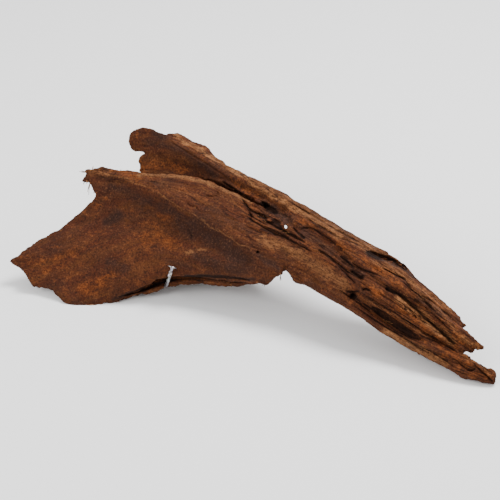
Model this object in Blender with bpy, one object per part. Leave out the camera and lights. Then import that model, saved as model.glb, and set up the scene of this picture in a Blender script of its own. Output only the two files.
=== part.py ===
"""A piece of driftwood: the flare of a root, whose shaft splinters at one end and fans into
thin wings at the other, and the galvanised nail that is driven into one of the wings.

The wood lies on three worn feet. Its curves are laid out as a viewer sees them who looks down
on it from in front: (across, down, near), in millimetres, in a square window round the piece,
with near growing towards the viewer. place() turns such points into the part's own frame.
"""

import math

import bmesh
import bpy
import numpy as np
from mathutils import Vector, noise

MM = 0.001
WINDOW = 500.0  # side of the window that the curves are laid out in
EYE_DISTANCE = 1875.0  # from the window's middle to the viewer
LOOK_DOWN = math.radians(30.0)
TURN = math.radians(22.0)  # turns the long axis onto +X
FLOOR_UP = -58.3  # the floor under the window's middle
MIDDLE = (17.0, 19.5)  # where the piece's box is centred, before it is moved over the origin

VOXEL = 1.9 * MM
WOOD_TRIANGLES = 11300


def place(points):
    """Points of the viewer's window, as they lie in the part's frame."""
    p = np.atleast_2d(np.asarray(points, float))
    near = p[:, 2]
    shrink = 1 - near / EYE_DISTANCE
    across = (p[:, 0] - WINDOW / 2) * shrink
    up = (WINDOW / 2 - p[:, 1]) * shrink
    back = up * math.sin(LOOK_DOWN) - near * math.cos(LOOK_DOWN)
    height = up * math.cos(LOOK_DOWN) + near * math.sin(LOOK_DOWN) - FLOOR_UP
    x = across * math.cos(TURN) - back * math.sin(TURN) - MIDDLE[0]
    y = across * math.sin(TURN) + back * math.cos(TURN) - MIDDLE[1]
    return np.stack([x, y, height], axis=1) * MM


def seen(points):
    """The inverse of place(): where points of the part's frame lie in the viewer's window."""
    p = np.asarray(points, float) / MM + (*MIDDLE, 0)
    across = p[:, 0] * math.cos(TURN) + p[:, 1] * math.sin(TURN)
    back = p[:, 1] * math.cos(TURN) - p[:, 0] * math.sin(TURN)
    height = p[:, 2] + FLOOR_UP
    up = back * math.sin(LOOK_DOWN) + height * math.cos(LOOK_DOWN)
    near = height * math.sin(LOOK_DOWN) - back * math.cos(LOOK_DOWN)
    shrink = 1 - near / EYE_DISTANCE
    return np.stack([WINDOW / 2 + across / shrink, WINDOW / 2 - up / shrink, near], axis=1)


def towards_viewer():
    return np.array(
        [math.sin(TURN) * math.cos(LOOK_DOWN), -math.cos(TURN) * math.cos(LOOK_DOWN), math.sin(LOOK_DOWN)]
    )


def resample(points, count):
    """count points, evenly spaced along a polyline."""
    p = np.asarray(points, float)
    run = np.concatenate([[0], np.cumsum(np.linalg.norm(np.diff(p, axis=0), axis=1))])
    at = np.linspace(0, run[-1], count)
    return np.stack([np.interp(at, run, p[:, k]) for k in range(p.shape[1])], axis=1)


def cornered(points, count):
    """count points along a polyline, evenly spaced but for those moved onto its corners."""
    p = np.asarray(points, float)
    run = np.concatenate([[0], np.cumsum(np.linalg.norm(np.diff(p, axis=0), axis=1))])
    at = np.linspace(0, run[-1], count)
    for corner in run[1:-1]:
        at[1 + np.argmin(np.abs(at[1:-1] - corner))] = corner
    return np.stack([np.interp(at, run, p[:, k]) for k in range(p.shape[1])], axis=1)


def rounded(points, count, steps=12):
    """count points, evenly spaced along a smooth curve through the given ones."""
    p = np.asarray(points, float)
    if len(p) < 3:
        return resample(p, count)
    ends = np.vstack([2 * p[0] - p[1], p, 2 * p[-1] - p[-2]])
    t = np.linspace(0, 1, steps, endpoint=False)[:, None]
    runs = []
    for a, b, c, d in zip(ends, ends[1:], ends[2:], ends[3:]):
        bend = (2 * a - 5 * b + 4 * c - d) * t**2 + (3 * b - a - 3 * c + d) * t**3
        runs.append(0.5 * (2 * b + (c - a) * t + bend))
    return resample(np.vstack([*runs, p[-1:]]), count)


def closed_grid(rings):
    """Vertices and faces of a tube through the rings, with its ends closed."""
    rows, columns = len(rings), len(rings[0])
    vertices = [tuple(v) for ring in rings for v in ring]
    faces = []
    for i in range(rows - 1):
        for j in range(columns):
            k = (j + 1) % columns
            faces.append((i * columns + j, i * columns + k, (i + 1) * columns + k, (i + 1) * columns + j))
    faces.append(tuple(reversed(range(columns))))
    faces.append(tuple((rows - 1) * columns + j for j in range(columns)))
    return vertices, faces


def mesh_object(name, vertices, faces):
    mesh = bpy.data.meshes.new(name)
    mesh.from_pydata([tuple(v) for v in vertices], [], faces)
    bm = bmesh.new()
    bm.from_mesh(mesh)
    bmesh.ops.recalc_face_normals(bm, faces=bm.faces)
    bm.to_mesh(mesh)
    bm.free()
    obj = bpy.data.objects.new(name, mesh)
    bpy.context.scene.collection.objects.link(obj)
    return obj


def limb(name, stations, rings=28, sides=20, squareness=2.3):
    """A stick of oval section. Each station is (across, down, near, half width, half depth)."""
    line = rounded(stations, rings)
    path = line[:, :3]
    run = np.gradient(path[:, :2], axis=0)
    run /= np.linalg.norm(run, axis=1)[:, None] + 1e-9
    side = np.stack([-run[:, 1], run[:, 0], np.zeros(rings)], axis=1)
    angle = np.linspace(0, 2 * math.pi, sides, endpoint=False)
    c = np.sign(np.cos(angle)) * np.abs(np.cos(angle)) ** (2 / squareness)
    s = np.sign(np.sin(angle)) * np.abs(np.sin(angle)) ** (2 / squareness)
    loops = []
    for k in range(rings):
        width, depth = max(line[k, 3], 0.3), max(line[k, 4], 0.3)
        loop = path[k] + side[k] * (c * width)[:, None] + np.array([0, 0, 1.0]) * (s * depth)[:, None]
        loops.append(place(loop))
    return mesh_object(name, *closed_grid(loops))


def sheet(name, top, bottom, left, right=(), thick=(4, 12), skin=0.5, dents=(), rows=26, columns=34):
    """A curved plate between four edges. It is thick[0] at its left end and thick[1] at its right.
    skin is the share of the thickness in front of the drawn surface. Each dent is
    (share along, share across, reach along, reach across, depth)."""
    left = [top[0], *left, bottom[0]]
    right = [top[-1], *right, bottom[-1]]
    upper, lower = rounded(top, columns), rounded(bottom, columns)
    ends, roots = cornered(left, rows), rounded(right, rows)
    s = np.linspace(0, 1, columns)[None, :, None]
    t = np.linspace(0, 1, rows)[:, None, None]
    corner = (1 - t) * ((1 - s) * upper[0] + s * upper[-1]) + t * ((1 - s) * lower[0] + s * lower[-1])
    surface = (1 - t) * upper[None] + t * lower[None] + (1 - s) * ends[:, None] + s * roots[:, None] - corner
    for along, across, reach, spread, depth in dents:
        bump = np.exp(-(((s - along) / reach) ** 2) - ((t - across) / spread) ** 2)[..., 0]
        surface[..., 2] -= depth * bump
    normal = np.cross(np.gradient(surface, axis=0), np.gradient(surface, axis=1))
    normal /= np.linalg.norm(normal, axis=2)[..., None] + 1e-9
    normal *= -1 if normal[..., 2].mean() < 0 else 1
    rim = np.minimum(np.minimum(t[..., 0], 1 - t[..., 0]) * 8, 1) ** 0.5
    full = (thick[0] + (thick[1] - thick[0]) * s[..., 0]) * (0.45 + 0.55 * rim)
    front = surface + normal * (full * skin)[..., None]
    behind = surface - normal * (full * (1 - skin))[..., None]
    loops = [np.vstack([front[:, k], behind[::-1, k]]) for k in range(columns)]
    return mesh_object(name, *closed_grid([place(loop) for loop in loops]))


# The crests and edges that neighbouring plates share, from the left end to the right.
FIN_CREST = [
    (136, 128.5, -96), (145, 125, -96), (154, 128, -94), (168, 136, -90), (178, 143.5, -84), (199, 153.5, -74),
    (215, 164.5, -62), (234, 174.5, -48), (262, 191, -28), (283, 205, -10), (300, 215, 4),
]
FIN_BACK = [
    (164, 134, -98), (173, 131.5, -108), (181, 133.5, -108), (191, 139, -102), (201, 142.5, -96), (209, 148, -90),
    (213, 155, -84), (223, 161, -77), (227, 166, -73), (241, 170.5, -62), (262, 182.5, -44), (281, 191, -28),
    (300, 202, -12),
]
VALLEY_FLOOR = [
    (143, 184, -88), (165, 188, -84), (185, 190, -78), (215, 196, -68), (240, 205, -54), (262, 215, -38),
    (290, 228, -16),
]
RIDGE_TOP = [
    (84.5, 170, -62), (100, 166.5, -60), (116, 169, -57), (138, 171.5, -52), (160, 173, -48), (185, 174.5, -42),
    (200, 177.5, -38), (215, 183, -33), (240, 195, -20), (262, 208, -3), (282, 222, 14), (300, 236, 28),
]
RIDGE_FRONT = [
    (83, 181, -58), (101, 173.5, -54), (126, 178.5, -40), (143, 187, -30), (159, 193, -22), (177, 205, -13),
    (195, 217.5, -5), (212, 224, 1), (227, 234.5, 8), (246, 246, 17), (262, 258, 25), (284, 266, 34),
]
WING_LEFT = [
    (89, 182.5, -57), (91.5, 183, -55), (93.5, 189, -53), (96.5, 194.5, -52), (91.5, 203, -54), (85, 208, -55),
    (83, 213, -56), (71, 220, -58), (60.5, 227, -58), (59.5, 232, -58), (50.5, 236, -57), (32, 244.5, -54),
    (8, 260.5, -48), (16, 268, -43), (24, 273.5, -40), (29, 279, -37), (39, 287, -32), (53, 289, -28),
    (57.5, 296.5, -24), (65, 304, -21), (75, 307, -20),
]
WING_FOOT = [
    (97.5, 307.5, -20), (106, 303.5, -21), (116, 300, -20), (126, 294.5, -19), (143, 289.5, -17),
    (151, 283.5, -15), (159, 278.5, -14), (178, 275, -13), (197, 274, -9), (220, 275.6, -2), (252, 280.5, 11),
    (268, 284, 18), (284, 276, 30),
]
LIP_FOOT = [
    (108, 302.5, -24), (123, 298.5, -25), (136, 294, -26), (150, 293, -26), (163, 289.5, -25), (177, 285, -25),
    (190, 282.3, -23), (206, 282, -20), (221, 284.5, -14), (237, 285.3, -6), (252, 282, 2), (266, 281.5, 10),
]
LIP_ROOT = [(112, 292, -30), (140, 272, -46), (180, 258, -52), (220, 258, -44), (262, 266, -6)]
FIN_LEFT = [
    (128, 136, -96), (127.5, 144, -95), (134.5, 152.5, -94), (143, 151.5, -93), (149, 153.5, -92),
    (141.5, 156.5, -93), (138, 160.5, -93), (140.5, 166, -92), (137.5, 172, -91), (140, 180, -89),
]
# The split where the wing has torn from the shaft, as a cutter's outline.
NOTCH = [
    (267, 286), (275, 276.5), (282.5, 272.3), (284.5, 268.5), (286.5, 267.2), (288, 270), (290, 275), (295, 282),
    (300, 292), (268, 296),
]


def wood_plates():
    """The thin wings and the plates behind them, which overlap where they grow together."""
    rear_top = [(118, 198, -100), (150, 188, -104), (190, 188, -100), (230, 200, -76), (270, 222, -36), (300, 240, 2)]
    rear_foot = [
        (104, 246, -109), (125, 247, -114), (150, 248.5, -121), (175, 249.5, -122), (195, 249, -116), (220, 250, -97),
        (260, 254, -52), (300, 256, 2),
    ]
    rear_left = [(108, 212, -106), (112, 222, -107), (102, 236, -111)]
    return [
        sheet(
            "front_wing", RIDGE_FRONT, WING_FOOT, WING_LEFT, thick=(4, 16), skin=0.35,
            dents=[(0.45, 0.25, 0.35, 0.25, 9), (0.3, 0.6, 0.3, 0.3, 3)], rows=70, columns=60,
        ),
        sheet(
            "middle_ridge", RIDGE_TOP, RIDGE_FRONT, [(87.5, 173, -60), (82.5, 178, -60)], thick=(5, 26), skin=0.05,
            rows=16, columns=40,
        ),
        sheet(
            "fin", FIN_CREST, VALLEY_FLOOR, FIN_LEFT, thick=(4.5, 18), skin=0.25,
            dents=[(0.5, 0.45, 0.4, 0.3, 6)], rows=40, columns=40,
        ),
        sheet("fin_band", FIN_BACK, FIN_CREST[3:], [], thick=(5, 20), skin=0.05, rows=12, columns=40),
        sheet("lip", LIP_ROOT, LIP_FOOT, [], thick=(5.5, 11), skin=0.4, rows=18, columns=34),
        sheet(
            "rear_wing", rear_top, rear_foot, rear_left, thick=(5, 22), skin=0.5,
            dents=[(0.4, 0.5, 0.3, 0.3, -8)], rows=24, columns=36,
        ),
    ]


def wood_shaft():
    """The shaft, and the staves that its outside is weathered into."""
    return [
        limb(
            "core",
            [
                (205, 212, -62, 8, 12), (235, 226, -38, 16, 18), (262, 234, -14, 25, 24), (297, 246, 10, 33, 27),
                (334, 262, 30, 31, 28), (367, 281, 48, 31, 26), (392, 298, 64, 30, 24), (414, 316, 77, 26, 21),
                (437, 334, 91, 20, 17), (450, 346, 99, 12, 10),
            ],
            rings=44, sides=32,
        ),
        limb(
            "heart",
            [(150, 205, -80, 8, 10), (180, 212, -66, 16, 24), (215, 222, -44, 24, 28), (255, 238, -14, 24, 26)],
            rings=24, sides=24,
        ),
        limb(
            "band_stave",
            [
                (240, 179, -52, 5.5, 10), (275, 197, -24, 8.5, 13), (300, 212.5, -6, 8.5, 14), (340, 235, 16, 7.8, 14),
                (372, 253, 34, 7.6, 13), (392, 264, 44, 8.8, 12), (407, 277, 56, 8.6, 12), (428, 298.5, 70, 8, 11),
                (446, 313, 82, 7.6, 9), (460, 323.2, 91, 5.2, 6), (468, 328, 95, 1.6, 2.4),
            ],
        ),
        limb(
            "upper_stave",
            [
                (372, 270, 60, 7, 9), (400, 285, 76, 9, 12), (425, 304, 88, 10, 13), (446, 325, 99, 9.4, 12),
                (462, 337.6, 107, 8.5, 10), (475, 344.8, 113, 5.8, 7), (486, 350, 117, 1.8, 2.8),
            ],
        ),
        limb(
            "middle_stave",
            [
                (345, 276, 60, 7, 8), (380, 297, 77, 8, 9), (410, 317, 91, 7, 9), (435, 334, 102, 6, 8),
                (455, 346, 110, 4, 6), (473, 353, 116, 1.5, 2),
            ],
        ),
        limb(
            "lower_stave",
            [
                (286, 256, 16, 12.5, 14), (304, 268, 28, 15, 17), (334, 286, 44, 13.4, 18), (362, 304, 60, 13, 18),
                (390, 323, 76, 12.3, 17), (420, 342, 92, 11.2, 16), (446, 357.5, 106, 11.2, 13),
                (466, 368.2, 114, 11, 10), (481, 374, 120, 10, 8), (497, 380, 124, 6.5, 5.5),
            ],
        ),
        limb(
            "rear_stave",
            [
                (236, 190, -62, 5, 9), (270, 208, -34, 9, 12), (310, 230, -8, 11, 12), (350, 254, 16, 11, 12),
                (390, 283, 40, 10, 11), (420, 311, 62, 9, 10), (442, 332, 80, 5, 6),
            ],
        ),
        limb(
            "keel_stave",
            [
                (262, 244, -26, 8, 12), (300, 262, -8, 12, 13), (345, 287, 20, 12, 13), (385, 315, 46, 11, 12),
                (420, 338, 68, 9, 11), (452, 358, 92, 8, 8),
            ],
        ),
    ]


# Grooves and hollows of the side that faces the viewer: their line, half width and depth.
GROOVES = {
    "slit": ([(222, 184), (240, 195), (252, 203), (262, 209), (278, 217)], 3.0, 18),
    "oval_hollow": ([(261, 201), (268, 206), (278, 212.5), (291, 221)], 5.4, 15),
    "rot_upper": ([(241, 197), (252, 211), (262, 214.5), (275, 219), (290, 228)], 2.4, 7),
    "rot_middle": ([(262, 220), (276, 227), (292, 235), (306, 243)], 2.6, 6),
    "rot_lower": ([(248, 216), (270, 230), (286, 239), (304, 248)], 1.8, 4),
    "dark_band": ([(294, 222), (315, 237), (337, 252), (352, 267), (363, 278)], 7.5, 8),
    "eye": ([(366, 251.5), (376, 255), (388, 259), (399, 262.5), (408, 270), (416, 281)], 3.6, 13),
    "knot_hole": ([(350, 294), (353, 296), (356, 298)], 3.8, 9),
    "slot": ([(363, 302), (374, 309), (387, 318), (400, 327), (412, 335), (423, 341)], 5.8, 20),
    "long_groove": (
        [(384, 286), (398, 293), (410, 301), (422, 312), (432, 322), (444, 332), (456, 343), (466, 351)], 3.3, 15,
    ),
    "thin_crack": ([(352, 262), (368, 268), (382, 272), (400, 278), (412, 291)], 2.0, 6),
    "prong_groove": ([(402, 320), (420, 331), (436, 341), (450, 348), (464, 355)], 2.6, 9),
    "lower_groove": ([(352, 304), (372, 318), (392, 331), (410, 342)], 1.8, 3),
    "wing_pit": ([(256, 251), (262, 256), (270, 263)], 3.0, 4),
    "lobe_dent": ([(152, 131), (158, 134.5), (166, 140)], 3.5, 3),
}
THROUGH_HOLE = (285.5, 227.0, 1.9)  # across, down, radius
TIP_BOW = 17.5

# Fibres that the grain runs along, from the shaft's end to the wings. Each is a step on from the last.
FIBRES = [
    [(490, 340), (402, 255), (300, 198), (225, 160), (170, 128), (128, 118)],
    [(486, 350), (409, 290), (360, 258), (300, 215), (234, 174.5), (199, 153.5), (168, 136), (128, 138)],
    [(484, 356), (420, 318), (360, 276), (300, 238), (262, 209), (215, 183), (185, 175), (138, 172), (80, 170)],
    [(486, 366), (420, 334), (360, 296), (310, 268), (262, 252), (227, 230), (195, 213), (159, 190), (84, 178)],
    [(488, 376), (400, 336), (330, 292), (270, 268), (230, 252), (190, 238), (150, 228), (110, 230), (5, 262)],
    [(490, 386), (400, 346), (330, 300), (270, 283), (220, 276), (165, 272), (120, 284), (80, 300), (50, 310)],
]
FIBRE_STEP = 16.0


def nearest_on(points, line):
    """Distance of each point to a polyline, and the share along it of the nearest place."""
    line = np.asarray(line, float)
    legs = np.diff(line, axis=0)
    lengths = np.linalg.norm(legs, axis=1)
    starts = np.concatenate([[0], np.cumsum(lengths)])
    best = np.full(len(points), 1e9)
    share = np.zeros(len(points))
    for a, leg, length, start in zip(line, legs, lengths, starts):
        t = np.clip((points - a) @ leg / length**2, 0, 1)
        gap = np.linalg.norm(points - a - t[:, None] * leg, axis=1)
        closer = gap < best
        best = np.where(closer, gap, best)
        share = np.where(closer, (start + t * length) / starts[-1], share)
    return best, share


def grain(at):
    """For points of the window: how far across the fibres and along them they lie, in millimetres."""
    weights, across, along = 0, 0, 0
    for k, fibre in enumerate(FIBRES):
        line = rounded(fibre, 40)
        gap, share = nearest_on(at[:, :2], line)
        weight = 1 / (gap + 1.5) ** 1.7
        length = np.linalg.norm(np.diff(line, axis=0), axis=1).sum()
        weights = weights + weight
        across = across + weight * k * FIBRE_STEP
        along = along + weight * share * length
    return across / weights, along / weights


def coordinates(mesh):
    points = np.empty(len(mesh.vertices) * 3, np.float32)
    mesh.vertices.foreach_get("co", points)
    return points.reshape(-1, 3).astype(float)


def normals(mesh):
    values = np.empty(len(mesh.vertices) * 3, np.float32)
    mesh.vertex_normals.foreach_get("vector", values)
    return values.reshape(-1, 3).astype(float)


def move_to(mesh, points):
    mesh.vertices.foreach_set("co", points.astype(np.float32).ravel())
    mesh.update()


def facing_front(mesh):
    """True for vertices that face the viewer with nothing before them."""
    at = seen(coordinates(mesh))
    cell, reach = 4.0, 14.0
    turned = normals(mesh) @ towards_viewer() > 0.05
    column = (at[:, :2] // cell).astype(int)
    foremost = np.full((int(WINDOW // cell) + 2,) * 2, -1e9)
    np.maximum.at(foremost, (column[:, 0], column[:, 1]), at[:, 2])
    return turned & (at[:, 2] > foremost[column[:, 0], column[:, 1]] - reach)


def carve(mesh):
    """Presses the grooves into the side that faces the viewer."""
    points = coordinates(mesh)
    at = seen(points)
    front = facing_front(mesh)
    depth = np.zeros(len(points))
    for line, width, deep in GROOVES.values():
        gap, share = nearest_on(at[:, :2], rounded(line, 30))
        taper = np.clip(4 * share * (1 - share), 0, 1) ** 0.5
        reach = np.maximum(width * (0.35 + 0.65 * taper), 0.5)
        profile = np.clip(1 - (gap / reach / 1.35) ** 2, 0, 1) ** 1.2
        depth = np.maximum(depth, deep * MM * taper * profile)
    points -= (depth * front)[:, None] * towards_viewer()
    move_to(mesh, points)


def bow(mesh):
    """Bends the shaft's far end back, so that its tip comes down to the ground."""
    at = seen(coordinates(mesh))
    share = np.clip((at[:, 0] - 330) / 120, 0, 1)
    at[:, 2] -= TIP_BOW * share**2 * (3 - 2 * share)
    move_to(mesh, place(at))


def ease_creases(mesh, rounds, fill=0.5, wear=0.12):
    """Fills the creases where pieces meet, and hardly wears their edges."""
    edges = np.empty(len(mesh.edges) * 2, np.int32)
    mesh.edges.foreach_get("vertices", edges)
    a, b = edges.reshape(-1, 2).T
    count = np.bincount(np.concatenate([a, b]), minlength=len(mesh.vertices))[:, None]
    for _ in range(rounds):
        points, out = coordinates(mesh), normals(mesh)
        total = np.zeros_like(points)
        np.add.at(total, a, points[b])
        np.add.at(total, b, points[a])
        step = total / np.maximum(count, 1) - points
        hollow = (step * out).sum(1) > 0
        move_to(mesh, points + step * np.where(hollow, fill, wear)[:, None])


def weather(mesh):
    """Furrows along the grain, deeper on the shaft than on the wings, and slow swells."""
    points, out = coordinates(mesh), normals(mesh)
    at = seen(points)
    across, along = grain(at)
    rough = np.clip((at[:, 0] - 190) / 110, 0.25, 1)
    height = np.empty(len(points))
    for k in range(len(points)):
        furrow = noise.noise(Vector((across[k] / 4.2, along[k] / 110, at[k, 2] / 14)))
        ripple = noise.noise(Vector((across[k] / 2.3, along[k] / 55, at[k, 2] / 8 + 40)))
        swell = noise.noise(Vector((at[k, 0] / 30, at[k, 1] / 30, at[k, 2] / 30 + 80)))
        nibble = noise.noise(Vector((at[k, 0] / 7, at[k, 1] / 7, at[k, 2] / 7 + 20)))
        grooved = 3.4 * (abs(furrow) - 0.3) + 1.6 * (abs(ripple) - 0.2)
        height[k] = rough[k] * grooved + 0.7 * (1 - rough[k]) + 0.9 * swell + 0.5 * nibble
    move_to(mesh, points + out * (height * MM)[:, None])


def cut(obj, cutters):
    """Takes the cutters out of the object."""
    for cutter in cutters:
        take = obj.modifiers.new(cutter.name, "BOOLEAN")
        take.operation = "DIFFERENCE"
        take.object = cutter
    settle(obj)
    for cutter in cutters:
        bpy.data.objects.remove(cutter)


def prism(name, outline, near):
    """A cutter of that outline, from near[0] to near[1]."""
    rings = [place([(across, down, depth) for across, down in outline]) for depth in near]
    return mesh_object(name, *closed_grid(rings))


def round_outline(across, down, radius, sides=14):
    turns = [2 * math.pi * k / sides for k in range(sides)]
    return [(across + radius * math.cos(t), down + radius * math.sin(t)) for t in turns]


def joined(name, objects):
    """One object that holds the meshes of all the others."""
    bm = bmesh.new()
    for obj in objects:
        bm.from_mesh(obj.data)
        bpy.data.objects.remove(obj)
    mesh = bpy.data.meshes.new(name)
    bm.to_mesh(mesh)
    bm.free()
    whole = bpy.data.objects.new(name, mesh)
    bpy.context.scene.collection.objects.link(whole)
    return whole


def settle(obj):
    """Turns the object's modifiers into its mesh."""
    graph = bpy.context.evaluated_depsgraph_get()
    mesh = bpy.data.meshes.new_from_object(obj.evaluated_get(graph))
    obj.modifiers.clear()
    obj.data = mesh


def fuse(obj, voxel):
    """Fuses what overlaps into one skin."""
    remesh = obj.modifiers.new("fuse", "REMESH")
    remesh.mode = "VOXEL"
    remesh.voxel_size = voxel
    remesh.use_smooth_shade = True
    settle(obj)


def decimate(obj, triangles):
    """Fewer triangles, which keeps the shape best where it bends most."""
    obj.data.calc_loop_triangles()
    fewer = obj.modifiers.new("fewer", "DECIMATE")
    fewer.ratio = triangles / len(obj.data.loop_triangles)
    fewer.use_collapse_triangulate = True
    settle(obj)


def block(name, low, high):
    """A box from one corner to the other."""
    (x0, y0, z0), (x1, y1, z1) = low, high
    rings = [np.array([(x0, y0, z), (x1, y0, z), (x1, y1, z), (x0, y1, z)]) for z in (z0, z1)]
    return mesh_object(name, *closed_grid(rings))


# The nail's middle line, from its head's top to its point, in window coordinates. It bends back into the wood.
NAIL_LINE = [
    (172.4, 266.6, -0.2), (171.2, 270.5, -1.4), (169.8, 274.8, -2.8), (168.6, 278.6, -5.2), (167.6, 281.4, -10.3),
    (166.8, 283.4, -17.0), (166.3, 284.8, -23.0), (165.9, 285.6, -29.0), (165.7, 285.9, -32.5),
]
NAIL_HEAD = [(0.0, 3.9), (0.3, 4.35), (1.0, 4.35), (1.35, 3.9), (1.4, 1.9), (1.9, 1.65)]  # distance, radius in mm
NAIL_REACH = 1.5 * MM
NAIL_TWIST = 230.0  # radians a metre
NAIL_CLEARANCE = 0.45 * MM


def nail_rings(profile, sides, corner=0.0):
    """Rings round the nail's line for each (distance, radius) in metres; corner squares them."""
    line = place(rounded(NAIL_LINE, 160))
    legs = np.diff(line, axis=0)
    starts = np.concatenate([[0], np.cumsum(np.linalg.norm(legs, axis=1))])
    rings = []
    for distance, radius in profile:
        k = min(int(np.searchsorted(starts, distance, "right")) - 1, len(legs) - 1)
        way = legs[k] / np.linalg.norm(legs[k])
        middle = line[k] + way * (distance - starts[k])
        side = np.cross(way, place([(1, 0, 0)])[0] - place([(0, 0, 0)])[0])
        side /= np.linalg.norm(side)
        up = np.cross(way, side)
        ring = []
        for turn in np.arange(sides) * 2 * math.pi / sides:
            reach = radius * (1 + corner * math.cos(4 * (turn - NAIL_TWIST * distance)))
            ring.append(middle + (side * math.cos(turn) + up * math.sin(turn)) * reach)
        rings.append(np.array(ring))
    return rings, starts[-1]


def nail():
    """A flat head and a twisted square shank with a point, as one body."""
    length = nail_rings([(0, 1)], 4)[1]
    head, _ = nail_rings([(distance * MM, radius * MM) for distance, radius in NAIL_HEAD], 28)
    steps = 52
    shank = [(2.4 * MM + k * (length - 6 * MM) / steps, NAIL_REACH) for k in range(steps + 1)]
    body, _ = nail_rings(shank, 28, 0.17)
    point, _ = nail_rings([(length - 2 * MM, NAIL_REACH * 0.7), (length, 0.2 * MM)], 28)
    return mesh_object("nail", *closed_grid(head + body + point))


def nail_hole():
    """The cutter of the hole that the nail is driven into."""
    length = nail_rings([(0, 1)], 4)[1]
    reach = NAIL_REACH * 1.17 + NAIL_CLEARANCE
    start = 2.3 * MM
    profile = [(start + k * (length - start) / 24, reach) for k in range(25)] + [(length + 0.7 * MM, reach / 2)]
    return mesh_object("nail_hole", *closed_grid(nail_rings(profile, 16)[0]))


def finish(obj, colour, metallic, roughness):
    material = bpy.data.materials.new(obj.name)
    material.use_nodes = True
    values = material.node_tree.nodes["Principled BSDF"].inputs
    values["Base Color"].default_value = (*colour, 1)
    values["Metallic"].default_value = metallic
    values["Roughness"].default_value = roughness
    obj.data.materials.clear()
    obj.data.materials.append(material)


def clear_scene():
    for obj in list(bpy.data.objects):
        bpy.data.objects.remove(obj)


def main():
    clear_scene()
    wood = joined("driftwood", wood_plates() + wood_shaft())
    bow(wood.data)
    fuse(wood, VOXEL)
    ease_creases(wood.data, 10)
    carve(wood.data)
    cut(wood, [prism("notch", NOTCH, (-60, 80))])
    fuse(wood, VOXEL)
    ease_creases(wood.data, 2, 0.3, 0.15)
    weather(wood.data)
    decimate(wood, WOOD_TRIANGLES)
    hole = prism("through_hole", round_outline(*THROUGH_HOLE), (-90, 90))
    cut(wood, [block("ground", (-1, -1, -0.1), (1, 1, 0)), nail_hole(), hole])
    metal = nail()
    finish(wood, (0.2, 0.09, 0.035), 0.0, 0.85)
    finish(metal, (0.55, 0.56, 0.57), 1.0, 0.45)


main()
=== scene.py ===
"""A weathered piece of driftwood with a bent nail in it.

The wood is one piece: a furrowed shaft with a splintered tip, which fans out into thin wings.
Its marks are laid out as a viewer sees them who looks down on it from in front: (across, down,
near), in millimetres, in a square window round the piece, with near growing towards the viewer.
place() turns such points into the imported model's frame.
"""

import math
import random

import bmesh
import bpy
import numpy as np
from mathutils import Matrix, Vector, noise
from mathutils.bvhtree import BVHTree


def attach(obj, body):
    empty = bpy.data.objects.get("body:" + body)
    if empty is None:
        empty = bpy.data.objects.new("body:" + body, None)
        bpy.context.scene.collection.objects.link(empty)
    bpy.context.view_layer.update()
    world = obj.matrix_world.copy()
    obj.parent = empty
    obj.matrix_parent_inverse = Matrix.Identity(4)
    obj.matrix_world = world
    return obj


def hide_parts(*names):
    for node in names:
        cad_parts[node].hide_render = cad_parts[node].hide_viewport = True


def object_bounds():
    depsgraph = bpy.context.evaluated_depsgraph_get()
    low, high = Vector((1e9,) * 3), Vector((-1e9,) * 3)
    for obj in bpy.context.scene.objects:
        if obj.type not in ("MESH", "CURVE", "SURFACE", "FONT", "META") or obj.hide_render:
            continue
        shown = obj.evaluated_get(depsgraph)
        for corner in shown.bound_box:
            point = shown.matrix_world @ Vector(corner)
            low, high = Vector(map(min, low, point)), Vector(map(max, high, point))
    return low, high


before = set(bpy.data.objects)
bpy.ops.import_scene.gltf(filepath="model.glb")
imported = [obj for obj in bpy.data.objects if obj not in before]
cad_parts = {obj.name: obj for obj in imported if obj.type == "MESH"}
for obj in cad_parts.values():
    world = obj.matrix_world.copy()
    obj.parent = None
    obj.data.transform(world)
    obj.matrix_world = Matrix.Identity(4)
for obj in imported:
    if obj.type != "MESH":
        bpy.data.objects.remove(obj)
cad_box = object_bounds()

MM = 0.001

# The seed of the noise that frays the tints.
FRAY_SEED = 11
noise.seed_set(FRAY_SEED)

# The window that the marks are laid out in, as in the part's own source.
WINDOW = 500.0
EYE_DISTANCE = 1875.0
LOOK_DOWN = math.radians(30.0)
TURN = math.radians(22.0)
FLOOR_UP = -58.3
MIDDLE = (17.0, 19.5)

FINE_VOXEL = 1.0 * MM
WOOD_TRIANGLES = 197000

# Steps of a smooth curve between two of its points, and the points of a fibre, a mark and a tint.
CURVE_STEPS = 12
FIBRE_POINTS = 22
MARK_POINTS = 40
TINT_POINTS = 16


def place(points):
    """Points of the viewer's window, as they lie in the part's frame."""
    p = np.atleast_2d(np.asarray(points, float))
    near = p[:, 2]
    shrink = 1 - near / EYE_DISTANCE
    across = (p[:, 0] - WINDOW / 2) * shrink
    up = (WINDOW / 2 - p[:, 1]) * shrink
    back = up * math.sin(LOOK_DOWN) - near * math.cos(LOOK_DOWN)
    height = up * math.cos(LOOK_DOWN) + near * math.sin(LOOK_DOWN) - FLOOR_UP
    x = across * math.cos(TURN) - back * math.sin(TURN) - MIDDLE[0]
    y = across * math.sin(TURN) + back * math.cos(TURN) - MIDDLE[1]
    return np.stack([x, y, height], axis=1) * MM


def seen(points):
    """The inverse of place(): where points of the part's frame lie in the viewer's window."""
    p = np.asarray(points, float) / MM + (*MIDDLE, 0)
    across = p[:, 0] * math.cos(TURN) + p[:, 1] * math.sin(TURN)
    back = p[:, 1] * math.cos(TURN) - p[:, 0] * math.sin(TURN)
    height = p[:, 2] + FLOOR_UP
    up = back * math.sin(LOOK_DOWN) + height * math.cos(LOOK_DOWN)
    near = height * math.sin(LOOK_DOWN) - back * math.cos(LOOK_DOWN)
    shrink = 1 - near / EYE_DISTANCE
    return np.stack([WINDOW / 2 + across / shrink, WINDOW / 2 - up / shrink, near], axis=1)


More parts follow.
